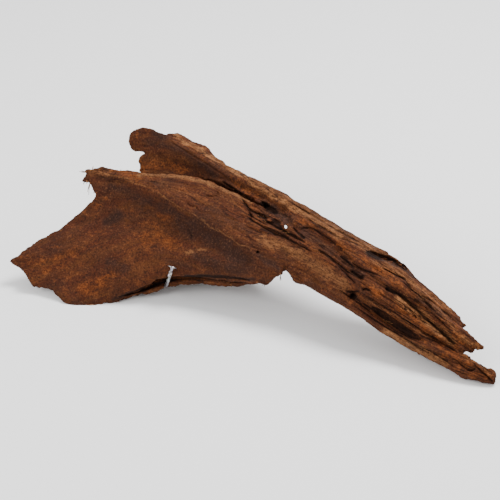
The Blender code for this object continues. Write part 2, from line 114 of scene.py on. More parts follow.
def towards_viewer():
    """The way from the piece to the viewer, of length 1."""
    return np.array(
        [math.sin(TURN) * math.cos(LOOK_DOWN), -math.cos(TURN) * math.cos(LOOK_DOWN), math.sin(LOOK_DOWN)]
    )


def resample(points, count):
    """count points, evenly spaced along a polyline."""
    p = np.asarray(points, float)
    run = np.concatenate([[0], np.cumsum(np.linalg.norm(np.diff(p, axis=0), axis=1))])
    at = np.linspace(0, run[-1], count)
    return np.stack([np.interp(at, run, p[:, k]) for k in range(p.shape[1])], axis=1)


def rounded(points, count):
    """count points, evenly spaced along a smooth curve through the given ones."""
    p = np.asarray(points, float)
    if len(p) < 3:
        return resample(p, count)
    ends = np.vstack([2 * p[0] - p[1], p, 2 * p[-1] - p[-2]])
    t = np.linspace(0, 1, CURVE_STEPS, endpoint=False)[:, None]
    runs = []
    for a, b, c, d in zip(ends, ends[1:], ends[2:], ends[3:]):
        bend = (2 * a - 5 * b + 4 * c - d) * t**2 + (3 * b - a - 3 * c + d) * t**3
        runs.append(0.5 * (2 * b + (c - a) * t + bend))
    return resample(np.vstack([*runs, p[-1:]]), count)


def nearest_on(points, line):
    """For each point: its distance to a polyline, the share along it of the nearest place, and its side."""
    line = np.asarray(line, float)
    legs = np.diff(line, axis=0)
    lengths = np.linalg.norm(legs, axis=1)
    starts = np.concatenate([[0], np.cumsum(lengths)])
    best = np.full(len(points), 1e9)
    share = np.zeros(len(points))
    side = np.zeros(len(points))
    for a, leg, length, start in zip(line, legs, lengths, starts):
        from_a = points - a
        t = np.clip(from_a @ leg / length**2, 0, 1)
        gap = np.linalg.norm(from_a - t[:, None] * leg, axis=1)
        closer = gap < best
        best = np.where(closer, gap, best)
        share = np.where(closer, (start + t * length) / starts[-1], share)
        side = np.where(closer, np.sign(leg[1] * from_a[:, 0] - leg[0] * from_a[:, 1]), side)
    return best, share, side


def beside(at, line, count, reach):
    """Which points of the window lie round a line, their distance to it and the share along it."""
    path = rounded(line, count)
    inside = ((at[:, :2] > path.min(0) - reach) & (at[:, :2] < path.max(0) + reach)).all(1)
    gap, share, _ = nearest_on(at[inside, :2], path)
    return inside, gap, share


# Fibres that the grain runs along, from the shaft's end to the wings, each lower than the last.
FIBRES = [
    [(500, 330), (402, 250), (300, 192), (225, 154), (185, 126), (120, 108)],
    [(490, 345), (405, 272), (340, 236), (300, 213), (250, 186), (199, 154), (168, 138), (120, 140)],
    [
        (486, 352), (415, 300), (360, 264), (310, 232), (262, 205), (215, 180), (185, 170), (150, 168),
        (70, 163),
    ],
    [
        (486, 358), (420, 318), (360, 276), (300, 244), (262, 222), (215, 196), (185, 186), (130, 178),
        (70, 171),
    ],
    [
        (486, 364), (420, 328), (360, 290), (310, 262), (262, 246), (227, 230), (195, 213), (159, 191),
        (120, 181), (74, 181),
    ],
    [
        (490, 372), (410, 334), (350, 296), (300, 268), (262, 255), (230, 245), (195, 227), (150, 206),
        (120, 207), (96, 222), (70, 238), (40, 250), (0, 258),
    ],
    [
        (492, 380), (400, 340), (345, 303), (290, 274), (262, 264), (230, 260), (195, 250), (150, 238),
        (115, 246), (85, 264), (55, 280), (15, 290),
    ],
    [
        (494, 388), (400, 348), (340, 308), (285, 282), (250, 272), (200, 269), (160, 264), (130, 275),
        (100, 290), (65, 308),
    ],
    [
        (496, 402), (400, 362), (330, 320), (280, 298), (240, 291), (200, 287), (150, 296), (110, 308),
        (60, 322),
    ],
]
FIBRE_STEP = 12.0


def grain(at):
    """Where points of the window lie in the grain, in millimetres: across it, along it, and near."""
    gaps, alongs, below = [], [], 0
    for fibre in FIBRES:
        line = rounded(fibre, FIBRE_POINTS)
        gap, share, side = nearest_on(at[:, :2], line)
        gaps.append(gap)
        alongs.append(share * np.linalg.norm(np.diff(line, axis=0), axis=1).sum())
        below = below + (side > 0)
    upper = np.clip(below - 1, 0, len(FIBRES) - 2)
    each = np.arange(len(at))
    gaps, alongs = np.array(gaps), np.array(alongs)
    above, under = gaps[upper, each], gaps[upper + 1, each]
    share = above / (above + under)
    across = np.where(below == 0, -above / FIBRE_STEP, upper + share)
    along = alongs[upper, each] * (1 - share) + alongs[upper + 1, each] * share
    return np.stack([across * FIBRE_STEP, along, at[:, 2]], axis=1)


# Cracks, furrows and hollows of the side that faces the viewer: their line, half width and depth.
MARKS = {
    "lip_wedge": ([(136, 291), (146, 287.5), (156, 283.5), (168, 279.5), (180, 277)], 1.8, 2.5),
    "band_line": ([(286, 200), (310, 214), (340, 232), (366, 246)], 0.4, 2.0),
    "band_line_low": ([(300, 214), (320, 226), (338, 237)], 0.4, 2.0),
    "stave_pit": ([(404, 308), (407, 310)], 0.8, 2.4),
    "stave_pit_low": ([(413, 315), (417, 318)], 0.8, 2.4),
    "lip_gap": (
        [(118, 297), (127, 294), (148, 288), (165, 281.5), (191, 276.5), (227, 277), (250, 280)], 1.3, 2.5,
    ),
    "rot_spot": ([(257, 216), (262, 217.5), (267, 219)], 1.0, 4),
    "rot_spot_right": ([(272, 219), (276, 221), (281, 224)], 1.6, 5),
    "rot_spot_low": ([(281, 235), (286, 237.5), (290, 240)], 1.2, 4),
    "rot_spot_end": ([(297, 232), (301, 235.5), (305, 239)], 1.5, 4),
    "rot_line": ([(264, 226), (274, 231), (284, 236), (296, 243), (306, 248)], 0.5, 2.5),
    "rot_line_low": ([(246, 216), (256, 223), (266, 229), (278, 237)], 0.45, 2.2),
    "middle_crack": ([(362, 290), (366, 289), (371, 291)], 0.8, 2.5),
    "middle_crack_low": ([(366, 296), (378, 303), (390, 311)], 0.4, 2.2),
    "stave_line": ([(398, 300), (412, 311), (428, 324)], 0.4, 2.2),
    "stave_line_low": ([(404, 318), (418, 328), (434, 338), (446, 346)], 0.4, 2.2),
    "upper_line": ([(412, 296), (426, 308), (440, 320), (452, 332)], 0.4, 2.2),
    "upper_line_high": ([(420, 292), (434, 303), (448, 315), (458, 324)], 0.4, 2.0),
    "edge_line": ([(300, 202), (330, 219), (360, 238)], 0.4, 2.0),
    "lower_line": ([(420, 346), (440, 357), (456, 368)], 0.4, 2.0),
    "slit": ([(222, 181.5), (231, 187), (240, 193), (252, 200.5), (262, 208), (272, 214)], 0.8, 6),
    "oval_hollow": ([(261, 202.5), (266, 206), (271, 209.5), (278, 214)], 2.7, 6),
    "rot_upper": ([(241, 197), (247, 206), (252, 211), (262, 214.5), (270, 217), (279, 221)], 0.81, 5),
    "rot_middle": ([(262, 220), (270, 222.5), (276, 227), (284, 231), (292, 235), (306, 243)], 0.99, 6),
    "rot_lower": ([(255, 222), (266, 229), (278, 235), (290, 240), (304, 248)], 0.62, 4),
    "rot_root": ([(270, 222), (277, 224), (283, 230)], 1.49, 5),
    "rot_web": ([(293, 227), (299, 234), (305, 239)], 0.87, 4),
    "rot_thread": ([(282, 236), (296, 243), (312, 252)], 0.5, 3),
    "band_edge": ([(318, 250), (328, 256), (338, 264), (348, 272), (358, 277.5)], 0.9, 4),
    "band_fold": ([(300, 229), (306, 228), (313, 228.5), (324, 236), (336, 244)], 0.5, 2.5),
    "band_crack": ([(340, 256), (348, 262), (354, 268)], 0.7, 2.5),
    "band_end": ([(350, 270), (356, 275), (362, 278), (363, 275)], 1.3, 4),
    "under_band": ([(318, 249), (334, 262), (346, 274), (356, 284)], 0.62, 3),
    "eye": ([(366, 251.5), (376, 255.5), (388, 259.5), (399, 264), (407, 270)], 2.2, 5),
    "eye_socket": ([(367, 252.5), (374, 255.5), (382, 258.5)], 2.8, 4),
    "flake_crack": ([(381, 268), (388, 271), (396, 275), (404, 279), (408, 284), (412, 290)], 0.6, 3),
    "flake_rise": ([(352, 262), (360, 268), (370, 272), (380, 276)], 0.68, 3),
    "knot_hole": ([(351, 294), (354, 296.5), (357, 297)], 2.5, 6),
    "knot_rim": ([(356, 298), (360, 302), (362, 307)], 0.5, 2.5),
    "knot_stain": ([(346, 291), (352, 292), (360, 291)], 0.87, 2),
    "slot": ([(371, 307), (380, 312.5), (390, 319.5), (401, 327.5), (412, 334.5), (421, 339.5)], 3.3, 6),
    "slot_lip": ([(362, 303), (372, 309), (386, 319)], 0.5, 2.5),
    "long_groove": (
        [(386, 288), (398, 294), (410, 303), (422, 315), (432, 324), (444, 334), (456, 345), (466, 351)],
        1.25, 6,
    ),
    "long_groove_head": ([(385, 288), (391, 291), (398, 294)], 1.49, 4),
    "prong_groove": ([(420, 331), (432, 337), (442, 343), (452, 349), (462, 353.5)], 0.7, 4),
    "prong_crack": ([(372, 300), (388, 308), (404, 319), (420, 330)], 0.5, 3),
    "upper_crack": ([(404, 283), (411, 289), (424, 300), (436, 312)], 0.5, 2.5),
    "tip_crack": ([(474, 364), (480, 370), (487, 376), (493, 382)], 0.6, 3),
    "tip_scale": ([(457, 361), (464, 367), (470, 371), (475, 369), (475, 363)], 0.5, 2.2),
    "tip_furrow": ([(470, 356), (480, 364), (490, 372)], 0.5, 2),
    "lower_furrow": ([(352, 304), (372, 318), (392, 331), (410, 342), (430, 354)], 0.56, 2.5),
    "lower_edge": ([(340, 290), (358, 303), (372, 313)], 0.5, 3),
    "ridge_crack": ([(205, 195), (211, 197), (216, 196), (219, 199)], 0.35, 1.6),
    "ridge_crack_end": ([(219, 199), (217, 191)], 0.35, 1.8),
    "ridge_split": ([(241, 202), (246, 206), (250, 213), (254, 218)], 0.56, 4),
    "ridge_seam": ([(248, 214), (256, 219), (268, 226)], 0.43, 2),
    "wing_pit": ([(256.5, 251.5), (259, 252.6)], 0.9, 3),
    "fold": ([(188, 226), (190, 232), (193, 239)], 0.35, 1.4),
    "crest_shadow": (
        [(168, 137), (173, 143), (183, 149.5), (195, 157), (207, 164), (222, 174.5), (238, 186)], 0.4, 1.6,
    ),
    "ridge_flake": ([(186, 200), (190, 206), (196, 207), (199, 212)], 0.4, 1.5),
}
# How far from a mark its edge is still measured, how wide its slope is outside that edge, and the
# depth from which its inside is darkened with painted shade, in millimetres.
MARK_REACH = 4.0
MARK_SLOPE = 0.6
DARK_DEPTH = 2.0

# Broad grooves that are filled again to near their brim: a line in the window, half width and strength.
FILLED = {
    "long_groove": ([(380, 284), (400, 296), (424, 316), (446, 335), (464, 349)], 11, 1.0),
    "prong_groove": ([(404, 322), (430, 336), (446, 346), (464, 354)], 6, 1.0),
    "slot": ([(362, 302), (390, 319), (424, 341)], 6, 0.8),
    "band": ([(296, 226), (320, 242), (340, 257), (358, 272)], 8, 0.9),
    "shaft_middle": ([(350, 264), (366, 274), (384, 284)], 7, 0.7),
    "fin_valley": ([(212, 170), (240, 187), (262, 200), (284, 216)], 9, 1.0),
    "rot": ([(250, 210), (270, 222), (300, 240)], 6, 0.5),
}
# The ground's brim is found on a grid of such cells, over that many to each side. The fill ends a
# little below it, and fades out before the deepest ground, which lies behind the piece.
BRIM_CELL = 2.5
BRIM_CELLS = 3
BRIM_DEPTH = 0.8
DEEPEST = 20.0
DEEP_FADE = 4.0


def coordinates(mesh):
    """The mesh's points, one a row."""
    points = np.empty(len(mesh.vertices) * 3, np.float32)
    mesh.vertices.foreach_get("co", points)
    return points.reshape(-1, 3).astype(float)


def normals(mesh):
    """The ways that the mesh's points face, one a row."""
    values = np.empty(len(mesh.vertices) * 3, np.float32)
    mesh.vertex_normals.foreach_get("vector", values)
    return values.reshape(-1, 3).astype(float)


def move_to(mesh, points):
    """Puts the mesh's points at those places."""
    mesh.vertices.foreach_set("co", points.astype(np.float32).ravel())
    mesh.update()


# The share of a point's normal towards the viewer, where it has turned away and where it fully faces
# the front. In a cell of the window, ground that far behind the foremost is hidden, in millimetres.
TURNED, FACED = -0.1, 0.15
FRONT_CELL = 3.0
HIDDEN = 16.0
HIDDEN_FADE = 4.0


def facing_front(at, out, least=0.0):
    """From least to 1: how far points face the viewer, and 0 where something lies before them."""
    facing = np.clip((out @ towards_viewer() - TURNED) / (FACED - TURNED), least, 1)
    column = tuple((at[:, :2] // FRONT_CELL).astype(int).T)
    foremost = np.full((int(WINDOW // FRONT_CELL) + 3,) * 2, -1e9)
    np.maximum.at(foremost, column, at[:, 2])
    behind = foremost[column] - at[:, 2]
    return facing * np.clip((HIDDEN - behind) / HIDDEN_FADE, 0, 1)


def brim(at, front):
    """The near value of the ground at points of the window, with its grooves closed."""
    size = int(WINDOW // BRIM_CELL) + 3
    chosen = at[front > 0.2]
    column = tuple((chosen[:, :2] // BRIM_CELL).astype(int).T)
    total, count = np.zeros((size, size)), np.zeros((size, size))
    np.add.at(total, column, chosen[:, 2])
    np.add.at(count, column, 1)
    ground = np.where(count > 0, total / np.maximum(count, 1), -1e3)
    for best in (np.maximum, np.minimum):
        for axis in (0, 1):
            ground = best.reduce([np.roll(ground, k, axis) for k in range(-BRIM_CELLS, BRIM_CELLS + 1)])
    spot = at[:, :2] / BRIM_CELL - 0.5
    low = np.floor(spot).astype(int)
    share = spot - low
    level = 0
    for i in (0, 1):
        for j in (0, 1):
            weight = np.abs(1 - i - share[:, 0]) * np.abs(1 - j - share[:, 1])
            level = level + weight * ground[low[:, 0] + i, low[:, 1] + j]
    return level


def mark_gap(at):
    """How far points lie outside the nearest mark, in millimetres and below 0 within, and its depth."""
    outside = np.full(len(at), MARK_REACH)
    depth = np.zeros(len(at))
    for line, width, deep in MARKS.values():
        inside, gap, share = beside(at, line, MARK_POINTS, width + MARK_REACH)
        taper = np.clip(6 * share * (1 - share), 0, 1) ** 0.5
        edge = gap - width * taper
        if deep >= DARK_DEPTH:
            outside[inside] = np.minimum(outside[inside], edge)
        bowl = np.clip((MARK_SLOPE - edge) / (width + MARK_SLOPE), 0, 1)
        depth[inside] = np.maximum(depth[inside], deep * taper * np.sqrt(bowl * (2 - bowl)))
    return outside, depth


def plain_mesh(obj):
    """A mesh of the object as its modifiers make it."""
    return bpy.data.meshes.new_from_object(obj.evaluated_get(bpy.context.evaluated_depsgraph_get()))


def settle(obj):
    """Turns the object's modifiers into its mesh."""
    mesh = plain_mesh(obj)
    obj.modifiers.clear()
    obj.data = mesh


def mesh_from(bm, name):
    """A mesh of what the bmesh holds, which is freed."""
    mesh = bpy.data.meshes.new(name)
    bm.to_mesh(mesh)
    bm.free()
    return mesh


def new_object(name, mesh):
    """An object in the scene, for a mesh, curve, lamp or camera."""
    obj = bpy.data.objects.new(name, mesh)
    bpy.context.scene.collection.objects.link(obj)
    return obj


def copy_of(node, name):
    """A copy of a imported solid, with its loose triangles joined up."""
    bm = bmesh.new()
    bm.from_mesh(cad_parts[node].data)
    bmesh.ops.remove_doubles(bm, verts=bm.verts, dist=0.01 * MM)
    return new_object(name, mesh_from(bm, name))


def noise_at(spots):
    """Noise from -1 to 1 at each spot."""
    return np.array([noise.noise(Vector(spot)) for spot in spots])


# The grain's patterns: their size across it, along it and in depth, and how deep they cut, all in
# millimetres, with the noise from which they do.
RIB_SIZE, RIB_CUT, RIB_SHARE = (4.2, 95, 16), 2.4, 0.17
CHIP_SIZE, CHIP_CUT, CHIP_LEAST = (3.0, 13, 9), 1.6, 0.24
STRAND_SIZE = (1.5, 40, 8)


def furrows(run, rough):
    """Height of the weathered grain, in millimetres: deep on the shaft and fine on the wings."""
    rib = np.maximum(1 - np.abs(noise_at(run / RIB_SIZE)) / RIB_SHARE, 0)
    strand = noise_at(run / STRAND_SIZE + (0, 0, 30))
    chip = np.maximum(noise_at(run / CHIP_SIZE + (0, 0, 60)) - CHIP_LEAST, 0)
    return (strand - RIB_CUT * rib - CHIP_CUT * chip) * rough


# How ragged the edges are, in millimetres, against the distance across the window. An edge is where
# the normal's share towards the viewer is below EDGE_TURN, and smooth ground swells a little there.
EDGE_WEAR = ((190, 270, 430, 462), (1.3, 0.4, 0.4, 1.3))
EDGE_SWELL = 0.8
EDGE_TURN = 0.6
EDGE_CHIP_SIZE = (3.5, 7.0, 9)
EDGE_NICK_SIZE = (1.8, 1.8, 6.0)


def worn_edge(at, out, run, rough):
    """Shifts that leave the edges ragged, in millimetres, with the piece seen from the front."""
    rim = np.clip(1 - np.abs(out @ towards_viewer()) / EDGE_TURN, 0, 1)
    ragged = noise_at(run / EDGE_CHIP_SIZE) + 0.5 * noise_at(at / EDGE_NICK_SIZE + 40)
    height = EDGE_SWELL * (1 - rough) + np.interp(at[:, 0], *EDGE_WEAR) * ragged
    return out * (rim * height)[:, None]


# Rough ground, where the fibres stand out: a line in the window, half width and strength.
ROUGH = {
    "shaft": ([(262, 214), (300, 238), (380, 285), (470, 350)], 34, 1.0),
    "ridge": ([(100, 173), (150, 181), (200, 198), (245, 222)], 9, 0.6),
    "fin_crest": ([(176, 137), (210, 156), (250, 178)], 7, 0.7),
    "lip": ([(130, 296), (180, 282), (250, 281)], 5, 0.7),
}
SMOOTH_GROUND = 0.15
# Ground that is worn smooth again.
WORN = {
    "lower_face": ([(275, 245), (300, 258), (330, 274), (350, 286)], 13, 0.75),
    "band": ([(306, 235), (332, 250)], 7, 0.45),
    "fin_band": ([(250, 176), (300, 204), (350, 234), (385, 254)], 9, 0.3),
}


def roughness(at):
    """How much the fibres stand out at points of the window, from 0 to 1."""
    return np.maximum(tinted(at, ROUGH) * (1 - tinted(at, WORN)), SMOOTH_GROUND)


# Bites out of the piece's outline that go right through it, in the window.
BITES = [
    [
        (384, 246), (388, 254.6), (396, 258.6), (404, 264.2), (410, 271), (415, 277.6), (426, 287),
        (438, 297), (450, 308), (456, 304), (420, 262), (396, 246),
    ],
    [
        (131, 150.3), (138, 151.2), (143, 151.6), (149, 153.7), (144.5, 154.6), (141.5, 156.2), (139, 158),
        (131, 158),
    ],
    [
        (250, 286.4), (254, 283.8), (258, 282.6), (262, 283), (266, 284.6), (269.5, 283.4), (272, 288),
        (250, 292),
    ],
    [(158, 291.4), (165, 288), (176, 285), (187, 283.2), (198, 283), (208, 284), (208, 290), (158, 296)],
    [(38, 289.5), (45, 288.4), (50, 288.6), (53.5, 290.6), (56.5, 295), (50, 301), (38, 297)],
    [
        (463.4, 350.8), (468, 351.2), (471.2, 353.6), (474.4, 350), (481, 349.6), (486, 352), (486, 364.6),
        (481, 362.2), (469, 356), (464, 354.2),
    ],
    [
        (420, 354), (431.4, 360.2), (443, 365.8), (454.5, 372.4), (461.5, 378.4), (469.3, 379.6),
        (475.7, 379.6), (483, 382.8), (490, 385.4), (488, 392), (440, 392), (410, 362),
    ],
    [(494.4, 366), (495.4, 373), (496, 377), (494.8, 386), (502, 386), (502, 366)],
    [(283.8, 225.2), (285.3, 224.4), (287, 225.6), (287.3, 228.2), (286.4, 230), (284.6, 228.8)],
]


# Thin flakes that stand out of the outline: a spot of the piece that carries each, and its outline.
FLAKES = {
    "prong_chunk": ((466, 346), [
        (462, 345), (476, 345.5), (480, 347), (475, 350), (473, 352.4), (471.2, 354.6), (468, 352.2),
        (463, 351.6),
    ]),
    "corner": ((98, 176), [
        (83.1, 180.5), (84.2, 177.4), (87.2, 173.6), (84.6, 171), (87.5, 169.3), (94, 169.6), (98, 167.8),
        (101, 166.4), (103.2, 167.2), (106, 168.5), (112, 170), (108, 182), (99, 191), (95.8, 193.4),
        (93.4, 188.6), (92, 185), (91.4, 182.6), (89.4, 183.8), (88, 181.8), (85, 182.2),
    ]),
    "fin_edge": ((150, 164), [
        (141.5, 155.2), (146, 156), (150, 160), (150, 172), (139, 171.5), (140.8, 165), (138.6, 161),
        (140, 157.5),
    ]),
    "left_tip": ((26, 262), [(9.8, 261), (14, 258.6), (22, 255.4), (30, 262), (24, 271), (16, 266)]),
    "left_foot": ((40, 278), [
        (22, 269), (27, 276.5), (30.5, 282.5), (34, 286.4), (40, 288), (46, 284), (36, 270),
    ]),
    "notch_left": ((272, 270), [
        (268, 281), (270.5, 279.6), (275, 277), (279, 275.4), (282.4, 273.6), (283.6, 270.4), (282, 264),
        (268, 266),
    ]),
    "notch_right": ((298, 272), [
        (287.6, 269.2), (288.8, 272.4), (291.4, 276.4), (294.4, 280), (301, 282.6), (304, 276), (293, 262),
    ]),
    "toe": ((80, 298), [
        (62, 299), (66, 303), (73, 306), (84, 306.6), (97.5, 306.4), (96, 305), (88, 303), (80, 298),
    ]),
}
FLAKE_THICKNESS = 2.6
# How far below the skin a flake starts, and how far a bite reaches to each side, in millimetres.
FLAKE_SUNK = 0.4
BITE_REACH = 160


def struck(surface, spot):
    """Where the viewer's line of sight through a window spot first meets a surface: the near value."""
    eye = Vector(place((WINDOW / 2, WINDOW / 2, 0))[0] + towards_viewer() * EYE_DISTANCE * MM)
    aim = Vector(place((*spot, 0))[0]) - eye
    hit = surface.ray_cast(eye, aim.normalized())[0]
    return seen([hit])[0, 2] if hit else None


def slab(outline, near, far):
    """A closed plate along the viewer's line of sight, as a bmesh."""
    bm = bmesh.new()
    front = [bm.verts.new(spot) for spot in place([(u, v, near) for u, v in outline])]
    back = [bm.verts.new(spot) for spot in place([(u, v, far) for u, v in outline])]
    bm.faces.new(front)
    bm.faces.new(back[::-1])
    for k in range(len(outline)):
        bm.faces.new((front[k - 1], back[k - 1], back[k], front[k]))
    bmesh.ops.recalc_face_normals(bm, faces=bm.faces)
    return bm


def remeshed(obj):
    """Gives the object an even skin of fine voxels."""
    fine = obj.modifiers.new("fine", "REMESH")
    fine.mode = "VOXEL"
    fine.voxel_size = FINE_VOXEL


def edged(wood):
    """Adds the flakes to the wood and cuts the bites out of it."""
    surface = BVHTree.FromObject(wood, bpy.context.evaluated_depsgraph_get())
    whole = bmesh.new()
    whole.from_mesh(wood.data)
    for spot, outline in FLAKES.values():
        near = struck(surface, spot) - FLAKE_SUNK
        whole.from_mesh(mesh_from(slab(outline, near, near - FLAKE_THICKNESS), "flake"))
    whole.to_mesh(wood.data)
    whole.free()
    remeshed(wood)
    cutters = []
    for outline in BITES:
        cutters.append(new_object("bite", mesh_from(slab(outline, BITE_REACH, -BITE_REACH), "bite")))
        cutting = wood.modifiers.new("bite", "BOOLEAN")
        cutting.operation = "DIFFERENCE"
        cutting.solver = "MANIFOLD"
        cutting.object = cutters[-1]
    remeshed(wood)
    settle(wood)
    for cutter in cutters:
        bpy.data.objects.remove(cutter)


def wood_piece():
    """The driftwood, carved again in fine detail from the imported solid."""
    wood = copy_of("driftwood", "driftwood_wood")
    soften = wood.modifiers.new("soften", "SUBSURF")
    soften.levels = soften.render_levels = 2
    settle(wood)
    edged(wood)
    mesh = wood.data
    points, out = coordinates(mesh), normals(mesh)
    at = seen(points)
    front = facing_front(at, out)
    run, rough = grain(at), roughness(at)
    points += worn_edge(at, out, run, rough) * MM
    points += out * (furrows(run, rough) * MM)[:, None]
    below = brim(at, front) - at[:, 2]
    lift = np.clip(below - BRIM_DEPTH, 0, None) * np.clip((DEEPEST - below) / DEEP_FADE, 0, 1)
    points += (lift * tinted(at, FILLED) * MM)[:, None] * towards_viewer()
    points -= (mark_gap(at)[1] * front * MM)[:, None] * towards_viewer()
    move_to(mesh, np.clip(points, *np.array(cad_box)))
    mesh.calc_loop_triangles()
    fewer = wood.modifiers.new("fewer", "DECIMATE")
    fewer.ratio = WOOD_TRIANGLES / len(mesh.loop_triangles)
    fewer.use_collapse_triangulate = True
    settle(wood)
    wood.data.polygons.foreach_set("use_smooth", [True] * len(wood.data.polygons))
    record_marks(wood.data)
    return wood


# Tints of the wood's skin, by the finish they bring out: a line in the window, half width and strength.
# The dark ones are stains, apart from those marked as painted shade; the pale ones are paler wood, with
# painted highlights where marked.
DARK_AND_SHADE_TINTS = {
    "wing_left": ([(70, 264), (82, 271)], 6, 0.55),
    "wing_scratch": ([(85, 252), (104, 240), (124, 230)], 1.2, 0.6),
    "wing_scratch_low": ([(38, 262), (52, 256), (62, 248)], 1.2, 0.45),
    # Painted shadow of the small fold in the wing.
    "fold": ([(188, 223), (190, 230), (191, 238)], 1.9, 1.0),
    "wing_lower_right": ([(196, 256), (216, 264), (240, 270)], 9, 0.75),
    "band_low": ([(340, 258), (352, 268), (362, 276)], 5, 0.8),
    # Painted shade in the head of the long groove.
    "groove_head": ([(387, 288), (393, 291.5), (399, 296)], 3, 1.0),
    "upper_stave": ([(420, 298), (432, 308), (440, 314)], 5, 0.8),
    "pit": ([(258, 254), (266, 260), (276, 268)], 5, 0.8),
    "middle": ([(358, 290), (370, 292)], 4, 0.6),
    "outer_step": ([(448, 312), (460, 322)], 3, 0.6),
    # Painted shade on the wing under the crest's overhang.
    "wing_under_crest_shade": ([(112, 186), (140, 198), (170, 212), (196, 228)], 8, 0.75),
    "wing_high_left": ([(107, 222), (118, 216)], 8, 1.0),
    "wing_centre": ([(131, 192), (142, 206)], 9, 0.7),
    "wing_fold": ([(180, 222), (190, 234)], 12, 0.8),
    "wing_right": ([(196, 226), (214, 240), (234, 254), (244, 264)], 14, 0.85),
    "wing_low": ([(108, 262), (124, 268)], 8, 0.7),
    "wing_low_right": ([(168, 262), (190, 268)], 6, 0.6),
    "wing_far_left": ([(36, 252), (44, 254)], 4, 0.5),
    # Painted contact shadow where the wing's foot meets the floor.
    "wing_foot_contact_shadow": ([(72, 303), (96, 301)], 4, 0.6),
    "ridge_grey": ([(146, 180), (158, 184)], 5, 0.6),
    "ridge_middle": ([(205, 206), (225, 216), (250, 232)], 6, 0.6),
    # Painted shade: under the ridge's tip, on the fin below its crest, deep in the fin's valley and by the
    # lobe.
    "ridge_tip": ([(95, 186), (112, 190)], 5, 0.4),
    "fin_face_shade": ([(150, 142), (172, 146), (190, 156)], 7, 0.7),
    "fin_root_shade": ([(198, 162), (208, 169), (216, 175)], 4, 0.8),
    "lobe": ([(155, 134), (163, 138)], 5, 0.9),
    # Painted shade in the oval hollow.
    "oval_hollow": ([(263, 205), (274, 211), (288, 221)], 6, 0.95),
    "rot": ([(256, 214), (276, 226), (300, 240)], 8, 0.35),
    "dark_band": ([(302, 231), (316, 240), (332, 252)], 8, 0.75),
    "under_band": ([(316, 244), (336, 264)], 4, 0.3),
    "shaft_middle": ([(356, 262), (372, 276), (390, 286)], 5, 0.2),
    # Painted shade in the eye's hollow.
    "eye": ([(367, 252), (376, 256), (388, 260.5), (399, 266), (408, 272), (414, 279)], 3.2, 1.0),
    "shaft_upper": ([(404, 292), (425, 306), (446, 324)], 6, 0.1),
    # Painted shade in the long groove.
    "long_groove": ([(388, 290), (412, 306), (440, 330), (464, 350)], 3, 0.2),
    "knot": ([(350, 292), (358, 300)], 4, 0.5),
    # Painted shade in the slot.
    "slot": ([(362, 302), (390, 320), (420, 340)], 5, 0.2),
    "prong": ([(458, 352), (468, 354)], 3, 0.3),
    "tip": ([(472, 366), (484, 374)], 3, 0.5),
    # Painted shadow in the gap under the wing's lower edge.
    "lip": (
        [(112, 299), (127, 294), (148, 288), (165, 281.5), (191, 276.5), (227, 277), (254, 280.5)], 2, 1.0,
    ),
}
PALE_AND_HIGHLIGHT_TINTS = {
    "lower_prong": ([(462, 356), (478, 364), (490, 374)], 4, 0.55),
    "ridge_middle": ([(200, 188), (226, 198), (244, 214)], 5, 0.4),
    "wing_heart": ([(140, 232), (160, 236), (176, 250)], 10, 0.3),
    "fin_low": ([(146, 166), (172, 168)], 8, 0.3),
    "valley": ([(236, 182), (252, 192), (262, 198)], 4, 0.35),
    "eye_ridge": ([(384, 261), (398, 268), (410, 281), (424, 294)], 3, 0.45),
    # Painted highlight along the fin's crest. The fin's band and middle band are paler wood, with painted
    # light where they face up.
    "fin_crest": ([(176, 137), (200, 150), (232, 170), (262, 190), (300, 213)], 3, 0.8),
    "fin_band": ([(215, 158), (245, 174), (280, 194), (320, 218), (350, 238), (385, 256)], 7, 0.6),
    "band_middle": ([(262, 190), (300, 211), (340, 237)], 5, 0.7),
    # Painted highlights along the ridge's crests and on its face.
    "ridge_top_crest_highlight": ([(140, 174), (170, 175), (200, 180), (225, 190), (250, 203)], 3.5, 0.8),
    "ridge_face_highlight": ([(160, 184), (180, 192), (198, 203)], 5, 0.4),
    "ridge_front_crest_highlight": (
        [(100, 171), (127, 181), (160, 194), (195, 217), (225, 235), (250, 250)], 1.3, 0.6,
    ),
    "ridge_tip": ([(90, 172), (110, 174)], 6, 0.5),
    "shaft_under": ([(262, 240), (290, 250), (320, 268), (345, 285)], 9, 0.65),
    "shaft_lower_edge": ([(300, 268), (340, 294)], 5, 0.3),
    "lower_face": ([(385, 332), (415, 348), (445, 364)], 6, 0.85),
    "upper_ridge": ([(372, 262), (396, 272), (420, 288), (450, 310)], 5, 0.6),
    "flake": ([(380, 262), (396, 268)], 4, 0.5),
    # Painted highlight along the middle stave's edge, over paler wood.
    "middle_stave": ([(400, 300), (424, 318), (452, 342)], 6, 0.9),
    "tip_top": ([(476, 360), (490, 372)], 4, 0.5),
    "wing_scar": ([(184, 254), (192, 252)], 4, 0.7),
    "wing_scar_small": ([(198, 249), (205, 250)], 2, 0.7),
    "upper_tip": ([(462, 338), (478, 346)], 4, 0.7),
    "slot_floor": ([(366, 300), (400, 318), (430, 338)], 4, 0.5),
    "band": ([(312, 236), (330, 248)], 4, 0.4),
    "rot_web": ([(268, 226), (290, 236)], 3, 0.4),
    "upper_stave": ([(410, 286), (440, 312), (460, 336)], 5, 0.5),
    # Painted light along the lip's lower edge, where it faces up below the gap.
    "lip_edge": ([(128, 297), (150, 292), (170, 287), (190, 281.5), (230, 282)], 1.6, 0.5),
}
